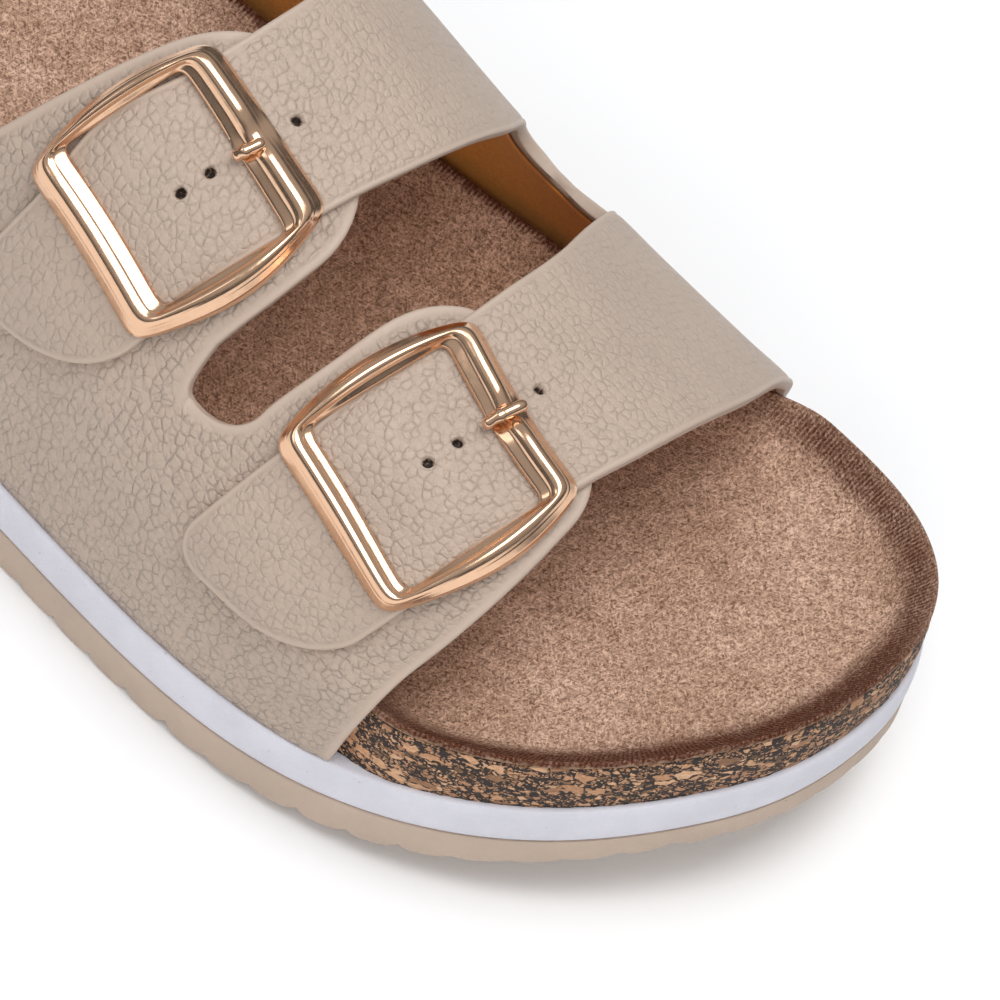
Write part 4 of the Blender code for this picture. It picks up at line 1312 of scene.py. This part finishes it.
def nap_group():
    """Brushed nap: short curled hairs in three directions, pale where they lie on top, dark between them,
    partly the fibres' own tone and partly painted shade in the gaps.
    """
    (place, scale), out = new_group("Fibre Nap", ("Vector", "Scale"), ("Height", "Tone"))
    curled = shaken(place, scale * 0.22, 1.6 / scale, "3D")
    hairs = []
    for turn in NAP_TURNS:
        inputs = {"Vector": curled, "Rotation": (0.0, 0.0, turn), "Scale": NAP_STRETCH}
        line = Wire(add_node(place.tree, "ShaderNodeMapping", inputs, vector_type="TEXTURE"))
        hairs.append(noise(line, scale, 1.5))
    upper = hairs[0].most(hairs[1]).most(hairs[2])
    lower = hairs[0].least(hairs[1]).least(hairs[2])
    speckle = noise(place, scale * 0.7, 4.0, 0.7)
    pale = upper.ramp(0.54, 0.74) * 0.42
    # Lighter where the hairs close up; the gaps between them are darker, partly painted shade
    open_part = lower.ramp(0.27, 0.43) * 0.34
    tone = pale.calc("ADD", pale + open_part, (speckle - 0.36) * 0.8, clamp=True)
    join(out, {"Height": upper + lower, "Tone": tone})


def pores_group():
    """Moulded skin: fine noise with sparse small pits."""
    (place, scale), out = new_group("Fine Pores", ("Vector", "Scale"), ("Height", "Pit"))
    spots = scale * 0.3
    distance = cells(place, spots, "Distance", "F1", "3D")
    chosen = channel(cells(place, spots, "Color", "F1", "3D"), "Red")
    pit = (1.0 - distance.ramp(0.05, 0.16)) * chosen.calc("GREATER_THAN", chosen, 0.96)
    join(out, {"Height": noise(place, scale, 4.0, 0.6) - pit, "Pit": pit})


GROUP_MAKERS = {"Pebble Grain": pebble_group, "Fibre Nap": nap_group, "Fine Pores": pores_group}


def group_wires(name, inputs):
    """Outputs, by name, of a shared effect placed in a material; the group is made once."""
    if name not in bpy.data.node_groups:
        GROUP_MAKERS[name]()
    node = inputs["Vector"].tree.nodes.new("ShaderNodeGroup")
    node.node_tree = bpy.data.node_groups[name]
    join(node, inputs)
    return {socket.name: Wire(node, socket.name) for socket in node.outputs}


def new_material(name, **sockets):
    """Material and its Principled shader, with the plain values of its sockets."""
    material = bpy.data.materials.new(name)
    material.use_nodes = True
    shader = material.node_tree.nodes["Principled BSDF"]
    for key, value in sockets.items():
        shader.inputs[key.replace("_", " ").title().replace("Ior", "IOR")].default_value = value
    return material, shader


def place_of(shader, kind="Object"):
    """Object coordinates, or the place on the piece's own map."""
    return Wire(shader.id_data.nodes.new("ShaderNodeTexCoord"), kind)


def point_value(shader, name):
    """A value stored on the mesh."""
    return Wire(add_node(shader.id_data, "ShaderNodeAttribute", attribute_name=name), "Fac")


def tint(colour, factor=1.0):
    """Colour made darker or lighter by a factor."""
    return [min(1.0, c * factor) for c in colour[:3]] + [1.0]


def bump(shader, height, distance, strength=1.0, normal=None):
    """Bump of a height, on top of another bump if given, joined to the shader's normal."""
    inputs = {"Height": height, "Distance": distance, "Strength": strength}
    if normal is not None:
        inputs["Normal"] = normal
    result = Wire(add_node(height.tree, "ShaderNodeBump", inputs))
    join(shader, {"Normal": result})
    return result


# Materials

# Repeats of the fine patterns in one metre
REPEATS = {
    "leather_drift": 60.0,
    "hole_tear": 2600.0,
    "hole_speck": 3400.0,
    "lining_nap": 3200.0,
    "suede_nap": 3600.0,
    "suede_clump": 420.0,
    "suede_cloud": 75.0,
    "rim_rag": 900.0,
    "pleat_bend": 300.0,
    "skin_cloud": 120.0,
    "metal_rub": 900.0,
    "metal_wave": 260.0,
}
# Heights of the fine patterns in metres
RELIEF = {
    "quarter": 0.00037,
    "straps": 0.00026,
    "lining_nap": 0.00008,
    "suede_nap": 0.0003,
    "pleats": 0.0004,
    "chips": 0.00025,
    "skin": 0.00012,
    "metal_wave": 0.00004,
}
# Arc lengths between which the grain grows calm; the outer quarter ends before them
CALM_RUN = {"quarter": (200.0, 210.0), "straps": (62.0, 82.0)}
# Grain of the leather: width and bend of the crease lines, and how dark they are
GRAIN_LINES = {"Crease": 0.042, "Bend": 0.42}
CREASE_TONE = 0.34
CALM_GRAIN = 0.75
# Painted shade inside the punched holes, and the tone of the lighter specks in them
HOLE_SHADE = (0.030, 0.018, 0.012, 1.0)
HOLE_SPECK = (0.30, 0.19, 0.13, 1.0)


def leather_material(name, kind, pebble, margin):
    """Grained leather: pebbles fade out in the smooth margin, painted paler as a highlight on the raised
    edge; creases are dark, and the holes are dark with painted shade.

    The grain of the straps is calmer over the instep, where they lie flat.
    """
    sizes = bpy.context.scene.sandal_leather
    material, shader = new_material(name, sheen_weight=0.06)
    place = place_of(shader, "UV")
    edge = point_value(shader, "edge")
    hole = point_value(shader, "hole")
    grain = group_wires("Pebble Grain", {"Vector": place, "Scale": 1.0 / pebble, **GRAIN_LINES})
    wide = margin / MM
    flat = place.part("Y").ramp(*(end * MM for end in CALM_RUN[kind]), 1.0, CALM_GRAIN)
    inside = edge.ramp(0.6 * wide, 1.5 * wide, 0.06, 1.0) * flat
    drift = noise(place, REPEATS["leather_drift"], 3.0, 0.55, "2D").ramp(0.3, 0.7)
    plain = mix_colour(drift, tint(sizes.colour, 0.98), tint(sizes.colour, 1.03))
    # Painted highlight: the smooth margin along the raised edge is paler
    highlit_margin = mix_colour(edge.ramp(0.4 * wide, 0.9 * wide), tint(sizes.colour, 1.08), plain)
    creased = mix_colour(grain["Crease"] * inside * CREASE_TONE, highlit_margin, tint(sizes.crease_colour))
    torn = (noise(place, REPEATS["hole_tear"]) - 0.5) * 0.9
    # Painted shade: the punched holes are dark, with ragged edges
    hole_shade_mask = (hole + torn).ramp(0.3, 0.75) * hole.ramp(0.02, 0.2)
    # Lighter specks scattered inside the holes
    hole_specks = noise(place, REPEATS["hole_speck"], 2.0).ramp(0.55, 0.66)
    colour = mix_colour(hole_shade_mask, creased, mix_colour(hole_specks, HOLE_SHADE, HOLE_SPECK))
    join(shader, {"Base Color": colour, "Roughness": grain["Height"].ramp(0.2, 1.1, 0.62, 0.46)})
    bump(shader, grain["Height"] * inside, RELIEF[kind])
    return material


def lining_material():
    """Tan lining with a fine brushed face and a dark cut edge, painted paler just inside the edge as a
    highlight.
    """
    tan = bpy.context.scene.sandal_leather.lining_colour
    material, shader = new_material("tan_lining", roughness=0.75, sheen_weight=0.1)
    nap = group_wires("Fibre Nap", {"Vector": place_of(shader), "Scale": REPEATS["lining_nap"]})
    edge = point_value(shader, "edge")
    tone = mix_colour(nap["Tone"], tint(tan, 0.72), tint(tan))
    # Painted highlight: a paler band just inside the lining's edge
    pale = mix_colour(edge.ramp(0.5, 1.8), tint(tan, 1.25), tone)
    join(shader, {"Base Color": mix_colour(edge.ramp(0.1, 0.5), tint(tan, 0.3), pale)})
    bump(shader, nap["Height"], RELIEF["lining_nap"])
    return material


# Suede: tones of clumps, clouds and the painted shade under the upper, reach of the burnish at the outer and
# the inner side and of its ragged edge in millimetres, bend of the pleats in radians
CLUMP_TONE = (0.86, 0.84, 0.82, 1.0)
CLOUD_TONE = (0.80, 0.76, 0.72, 1.0)
# Painted shade under the upper: its tone, and the stations in metres past which it sets in
UNDER_UPPER_SHADE = (0.82, 0.77, 0.72, 1.0)
UNDER_UPPER_SHADE_FROM = (0.010, 0.030)
INNER_SIDE = (0.006, 0.032)
BURNISH_REACH = (7.4, 5.6)
RIM_RAG = 2.6
PLEAT_BEND = 5.0
SUEDE_GLOSS = 0.15
BURNISH_GLOSS = 0.01


def suede_material():
    """Suede sock: curled nap, cloudy tone, thin ragged pale edge, burnish below the rim.

    Where the rim is bare the burnish covers the whole slope and fades into the floor, paler at the edge of
    the toe's inner side, where fine pleats show most, and on the pleats' crests, both painted highlight.
    Under the upper it is a narrow dark line along the joint, painted shadow, and the nap is darker with
    painted shade.
    """
    sizes = bpy.context.scene.sandal_sole
    material, shader = new_material("footbed_suede", roughness=0.95)
    place = place_of(shader)
    rim = point_value(shader, "rim")
    bare = point_value(shader, "bare")
    covered = 1.0 - bare
    nap = group_wires("Fibre Nap", {"Vector": place, "Scale": REPEATS["suede_nap"]})
    fibre = nap["Tone"].ramp(0.05, 0.92)
    tone = mix_colour(fibre, tint(sizes.suede_shade), tint(sizes.suede_colour))
    clump = noise(place, REPEATS["suede_clump"], 3.0, 0.6).ramp(0.36, 0.64)
    tufted = mix_colour(clump, tone, CLUMP_TONE, "MULTIPLY")
    cloud = noise(place, REPEATS["suede_cloud"], 5.0, 0.65).ramp(0.34, 0.66)
    cloudy = mix_colour(cloud, tufted, CLOUD_TONE, "MULTIPLY")
    # Painted shade: the nap under the upper is darker from the given stations towards the toe
    wear_and_shade = mix_colour(covered * place.part("X").ramp(*UNDER_UPPER_SHADE_FROM), cloudy, UNDER_UPPER_SHADE, "MULTIPLY")
    depth = rim + (noise(place, REPEATS["rim_rag"], 4.0, 0.7) - 0.5) * RIM_RAG
    inner = place.part("Y").ramp(*INNER_SIDE)
    fade = 1.0 - (depth / inner.ramp(0.0, 1.0, *BURNISH_REACH)).ramp(0.42, 1.0)
    strength = bare * inner.ramp(0.0, 1.0, 1.0, 0.9)
    # Painted highlight: on the toe's inner side the outermost part of the rim is left paler
    slope = fade * strength * (1.0 - inner * depth.ramp(0.0, 1.7, 0.4, 0.0))
    turn = point_value(shader, "around") * (2.0 * math.pi / (sizes.pleat_pitch / MM))
    bent = turn + noise(place, REPEATS["pleat_bend"]) * PLEAT_BEND
    pleat = (bent.calc("SINE", bent, 0.0) + nap["Tone"] * 0.9).ramp(-0.6, 1.5)
    ribbed = pleat * inner.ramp(0.2, 1.0, 0.14, 0.42)
    # Painted highlight: the burnish is left paler on the pleats' raised crests
    band = slope * (1.0 - ribbed)
    # Painted shadow: a narrow dark line along the rim where the upper meets the sock
    seam_and_shadow = (1.0 - (depth - pleat * 0.5).ramp(0.1, 1.3)) * covered
    dark = band.most(seam_and_shadow) * fibre.ramp(0.35, 1.0, 0.99, 0.84)
    burnished = mix_colour(dark, wear_and_shade, tint(sizes.burnish_colour))
    lip = (1.0 - depth.ramp(-0.7, 0.0)) * bare * 0.9
    colour = mix_colour(lip, burnished, tint(sizes.lip_colour))
    gloss = dark.ramp(0.0, 1.0, SUEDE_GLOSS, BURNISH_GLOSS)
    join(shader, {"Base Color": colour, "Specular IOR Level": gloss})
    first = bump(shader, nap["Height"], RELIEF["suede_nap"])
    bump(shader, ribbed * slope, RELIEF["pleats"], 0.7, first)
    return material


# Cork chips: length, height, share left to the binder, dark rim as a share of the chip
CORK_CHIPS = (
    (0.50, 0.30, 0.52, 0.11),
    (0.85, 0.50, 0.60, 0.12),
    (1.5, 0.80, 0.72, 0.10),
    (2.7, 1.35, 0.84, 0.06),
)
CORK_TONES = (
    (0.0, (0.13, 0.075, 0.035)),
    (0.25, (0.44, 0.225, 0.12)),
    (0.65, (0.62, 0.335, 0.18)),
    (1.0, (0.74, 0.45, 0.27)),
)
# Scale and reach of the shake that bends the chips' edges
CORK_SHAKE = (110.0, 0.006)


def chip_tone(value):
    """Tone of a cork chip from a value that differs from chip to chip."""
    node = add_node(value.tree, "ShaderNodeValToRGB", {"Fac": value})
    stops = node.color_ramp.elements
    for stop, tone in CORK_TONES[2:]:
        stops.new(min(stop, 0.95))
    for element, (stop, tone) in zip(stops, CORK_TONES):
        element.position = stop
        element.color = tone + (1.0,)
    return Wire(node, "Color")


def cork_material():
    """Pressed cork: long chips of four sizes in a dark binder, read on the wall's own map."""
    material, shader = new_material("pressed_cork", roughness=0.8)
    tree = material.node_tree
    place = shaken(place_of(shader, "UV"), *CORK_SHAKE)
    colour = tint(bpy.context.scene.sandal_sole.binder_colour)
    height = None
    for length, tall, share, rim in CORK_CHIPS:
        scale = (MAP_UNIT / length, MAP_UNIT / tall, 1.0)
        lay = {"Vector": place, "Scale": scale, "Location": (length, tall, 0.0)}
        spot = Wire(add_node(tree, "ShaderNodeMapping", lay))
        edge = cells(spot, 1.0, "Distance")
        pick = cells(spot, 1.0, "Color", "F1")
        chosen = channel(pick, "Red")
        mask = edge.ramp(rim, 2.0 * rim) * chosen.calc("GREATER_THAN", chosen, share)
        grain = noise(spot, 3.5, 3.0, 0.7, "2D").ramp(0.3, 0.7, 0.72, 1.05)
        grey = Wire(add_node(tree, "ShaderNodeCombineColor", {0: grain, 1: grain, 2: grain}))
        chip = mix_colour(1.0, chip_tone(channel(pick, "Green")), grey, "MULTIPLY")
        colour = mix_colour(mask, colour, chip)
        height = mask if height is None else height.most(mask)
    join(shader, {"Base Color": colour})
    bump(shader, height, RELIEF["chips"])
    return material


# Moulded skins: pores in one metre, roughness
RUBBER_SKIN = (2200.0, 0.72)
FOAM_SKIN = (4200.0, 0.62)


def moulded_material(name, colour, scale, roughness):
    """Foam or rubber: one colour with faint clouds, fine skin and sparse pits, painted darker as shade in the
    small recesses.
    """
    material, shader = new_material(name, roughness=roughness)
    place = place_of(shader)
    pores = group_wires("Fine Pores", {"Vector": place, "Scale": scale})
    cloud = noise(place, REPEATS["skin_cloud"], 4.0).ramp(0.3, 0.7)
    tone = mix_colour(cloud, tint(colour, 0.95), tint(colour, 1.03))
    # Painted shade: the sparse pits are darkened
    join(shader, {"Base Color": mix_colour(pores["Pit"] * 0.35, tone, tint(colour, 0.55))})
    bump(shader, pores["Height"], RELIEF["skin"])
    return material


def metal_material():
    """Polished plating with faint rubbing in its gloss."""
    found = bpy.data.materials.get("rose_plating")
    if found:
        return found
    colour = tint(bpy.context.scene.sandal_metal.colour)
    material, shader = new_material("rose_plating", metallic=1.0, base_color=colour)
    place = place_of(shader)
    rubbed = noise(place, REPEATS["metal_rub"], 4.0, 0.7)
    join(shader, {"Roughness": rubbed.ramp(0.35, 0.75, 0.15, 0.25)})
    bump(shader, noise(place, REPEATS["metal_wave"], 2.0), RELIEF["metal_wave"])
    return material


# Stage

# Softboxes: name, place, aim, width, height, power in watts, mirrored in polished faces
SOFTBOXES = (
    ("top_light", (0.25, -0.02, 1.25), (0.05, 0.0, 0.0), 1.1, 0.65, 9.8, True),
    ("front_light", (0.66, -1.08, 0.72), (0.06, 0.0, 0.02), 0.7, 0.75, 5.5, False),
    ("side_light", (-0.62, -0.84, 0.92), (0.0, 0.0, 0.02), 0.45, 0.65, 1.4, True),
    ("back_light", (-0.35, 1.05, 0.95), (0.05, 0.0, 0.02), 0.9, 0.7, 2.6, False),
)
# Room light near the floor and overhead, and the heights of view between which it changes
ROOM_LOW = (0.25, 0.26, 0.28, 1.0)
ROOM_HIGH = (1.12, 1.15, 1.18, 1.0)
ROOM_RUN = (0.12, 0.6)
FLOOR_HALF = 4000.0
FLOOR_Z = -0.05
SENSOR_WIDTH = 36.0


def frame_matrix(back, up, place):
    """World matrix of a lamp or camera from its back axis, a rough up axis and its place."""
    back = np.asarray(back, dtype=float)
    back = back / np.linalg.norm(back)
    right = np.cross(up, back)
    right = right / np.linalg.norm(right)
    matrix = np.eye(4)
    matrix[:3] = np.column_stack([right, np.cross(back, right), back, place])
    return mathutils.Matrix(matrix.tolist())


def lay_floor(settings):
    """Large square just under the sole."""
    turns = ((-1, -1), (1, -1), (1, 1), (-1, 1))
    corners = [(x * FLOOR_HALF, y * FLOOR_HALF, FLOOR_Z) for x, y in turns]
    floor = make_piece("floor", corners, [(0, 1, 2, 3)])
    material, _ = new_material("pale_floor", roughness=0.9, base_color=tint(settings.floor_colour))
    floor.data.materials.append(material)


def light_room(scene, settings):
    """Even light from all sides, weaker near the floor."""
    scene.world = bpy.data.worlds.new("studio")
    scene.world.use_nodes = True
    back = scene.world.node_tree.nodes["Background"]
    height = place_of(back, "Generated").part("Z")
    room = mix_colour(height.ramp(*ROOM_RUN), ROOM_LOW, ROOM_HIGH)
    join(back, {"Color": room, "Strength": settings.world_strength})


def hang_lights(scene):
    """The softboxes, each turned to its aim."""
    for name, place, aim, width, height, power, mirrored in SOFTBOXES:
        light = bpy.data.lights.new(name, "AREA")
        light.shape = "RECTANGLE"
        light.size = width
        light.size_y = height
        light.energy = power
        lamp = bpy.data.objects.new(name, light)
        lamp.visible_glossy = mirrored
        scene.collection.objects.link(lamp)
        lamp.matrix_world = frame_matrix(np.array(place) - np.array(aim), (0.0, 0.0, 1.0), place)


def place_camera(scene, settings):
    """Camera at the photo's angle, rolled about its own axis."""
    lens = bpy.data.cameras.new("camera")
    lens.lens = settings.lens
    lens.sensor_width = SENSOR_WIDTH
    camera = bpy.data.objects.new("camera", lens)
    scene.collection.objects.link(camera)
    a, e, r = settings.azimuth, settings.elevation, settings.roll
    right = np.array([math.cos(a), math.sin(a), 0.0])
    up = np.array([-math.sin(a) * math.sin(e), math.cos(a) * math.sin(e), math.cos(e)])
    turned_up = up * math.cos(r) - right * math.sin(r)
    camera.matrix_world = frame_matrix(np.cross(right, up), turned_up, settings.camera_place)
    scene.camera = camera


# Operators


class SANDAL_OT_stage(bpy.types.Operator):
    """Pale floor, soft lights and the camera"""

    bl_idname = "sandal.stage"
    bl_label = "Stage"
    bl_options = {"REGISTER", "UNDO"}

    def execute(self, context):
        scene = context.scene
        settings = scene.sandal_stage
        lay_floor(settings)
        light_room(scene, settings)
        hang_lights(scene)
        place_camera(scene, settings)
        scene.view_settings.view_transform = "Standard"
        return {"FINISHED"}


class SANDAL_OT_outsole(bpy.types.Operator):
    """Outsole with a scalloped lower edge and cross grooves"""

    bl_idname = "sandal.outsole"
    bl_label = "Outsole"
    bl_options = {"REGISTER", "UNDO"}

    def execute(self, context):
        piece = build_outsole()
        skin = moulded_material("beige_rubber", context.scene.sandal_sole.outsole_colour, *RUBBER_SKIN)
        dress(piece, skin, "outsole")
        return {"FINISHED"}


class SANDAL_OT_midsole(bpy.types.Operator):
    """White foam layer between outsole and footbed"""

    bl_idname = "sandal.midsole"
    bl_label = "Midsole"
    bl_options = {"REGISTER", "UNDO"}

    def execute(self, context):
        piece = build_midsole()
        skin = moulded_material("white_foam", context.scene.sandal_sole.foam_colour, *FOAM_SKIN)
        dress(piece, skin, "midsole")
        return {"FINISHED"}


class SANDAL_OT_footbed(bpy.types.Operator):
    """Cork footbed"""

    bl_idname = "sandal.footbed"
    bl_label = "Footbed"
    bl_options = {"REGISTER", "UNDO"}

    def execute(self, context):
        dress(build_footbed(), cork_material(), "footbed")
        return {"FINISHED"}


class SANDAL_OT_insole(bpy.types.Operator):
    """Suede sock over the footbed"""

    bl_idname = "sandal.insole"
    bl_label = "Insole"
    bl_options = {"REGISTER", "UNDO"}

    def execute(self, context):
        dress(build_insole(), suede_material(), "insole")
        return {"FINISHED"}


class SANDAL_OT_upper(bpy.types.Operator):
    """Outer quarter with its tabs, inner quarter with its straps, and their linings"""

    bl_idname = "sandal.upper"
    bl_label = "Upper"
    bl_options = {"REGISTER", "UNDO"}

    def execute(self, context):
        sizes = context.scene.sandal_leather
        grain = leather_material("quarter_leather", "quarter", sizes.quarter_pebble, sizes.quarter_margin)
        strap_grain = leather_material("strap_leather", "straps", sizes.strap_pebble, sizes.strap_margin)
        lining = lining_material()
        sink = LINING_SINK - LINING_WALL
        for skin, shape in (
            (grain, ("upper_outer_quarter", "quarter", -WALL, WALL, 0.0, True)),
            (strap_grain, ("upper_inner_quarter", "straps", 0.0, STRAP_WALL, 0.0, True)),
            (lining, ("lining_outer", "quarter", sink - WALL, LINING_WALL, LINING_INSET, False)),
            (lining, ("lining_inner", "straps", sink, LINING_WALL, LINING_INSET, False)),
        ):
            dress(build_sheet(*shape), skin, "upper")
        return {"FINISHED"}


class SANDAL_OT_buckles(bpy.types.Operator):
    """Both buckles with their prongs"""

    bl_idname = "sandal.buckles"
    bl_label = "Buckles"
    bl_options = {"REGISTER", "UNDO"}

    def execute(self, context):
        for side in ("front", "rear"):
            dress(build_buckle(side), metal_material(), "buckle_" + side)
            dress(build_prong(side), metal_material(), "prong_" + side)
        return {"FINISHED"}


OPERATORS = (
    SANDAL_OT_stage,
    SANDAL_OT_outsole,
    SANDAL_OT_midsole,
    SANDAL_OT_footbed,
    SANDAL_OT_insole,
    SANDAL_OT_upper,
    SANDAL_OT_buckles,
)


class SANDAL_PT_panel(bpy.types.Panel):
    """Lists the pieces and their settings"""

    bl_idname = "SANDAL_PT_panel"
    bl_label = "Footbed Sandal"
    bl_space_type = "VIEW_3D"
    bl_region_type = "UI"
    bl_category = "Sandal"

    def draw(self, context):
        layout = self.layout
        for operator in OPERATORS:
            layout.operator(operator.bl_idname)
        for name, group in SETTINGS.items():
            box = layout.box()
            for key in group.__annotations__:
                box.prop(getattr(context.scene, name), key)


def register():
    """Adds the settings, operators and the panel."""
    for name, group in SETTINGS.items():
        bpy.utils.register_class(group)
        setattr(bpy.types.Scene, name, bpy.props.PointerProperty(type=group))
    for cls in OPERATORS + (SANDAL_PT_panel,):
        bpy.utils.register_class(cls)


def unregister():
    """Takes them away again."""
    for cls in (SANDAL_PT_panel,) + OPERATORS[::-1]:
        bpy.utils.unregister_class(cls)
    for name, group in SETTINGS.items():
        delattr(bpy.types.Scene, name)
        bpy.utils.unregister_class(group)


def main():
    """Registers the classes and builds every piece."""
    register()
    bpy.ops.sandal.stage()
    bpy.ops.sandal.outsole()
    bpy.ops.sandal.midsole()
    bpy.ops.sandal.footbed()
    bpy.ops.sandal.insole()
    bpy.ops.sandal.upper()
    bpy.ops.sandal.buckles()
    bpy.context.view_layer.update()


if __name__ == "__main__":
    main()
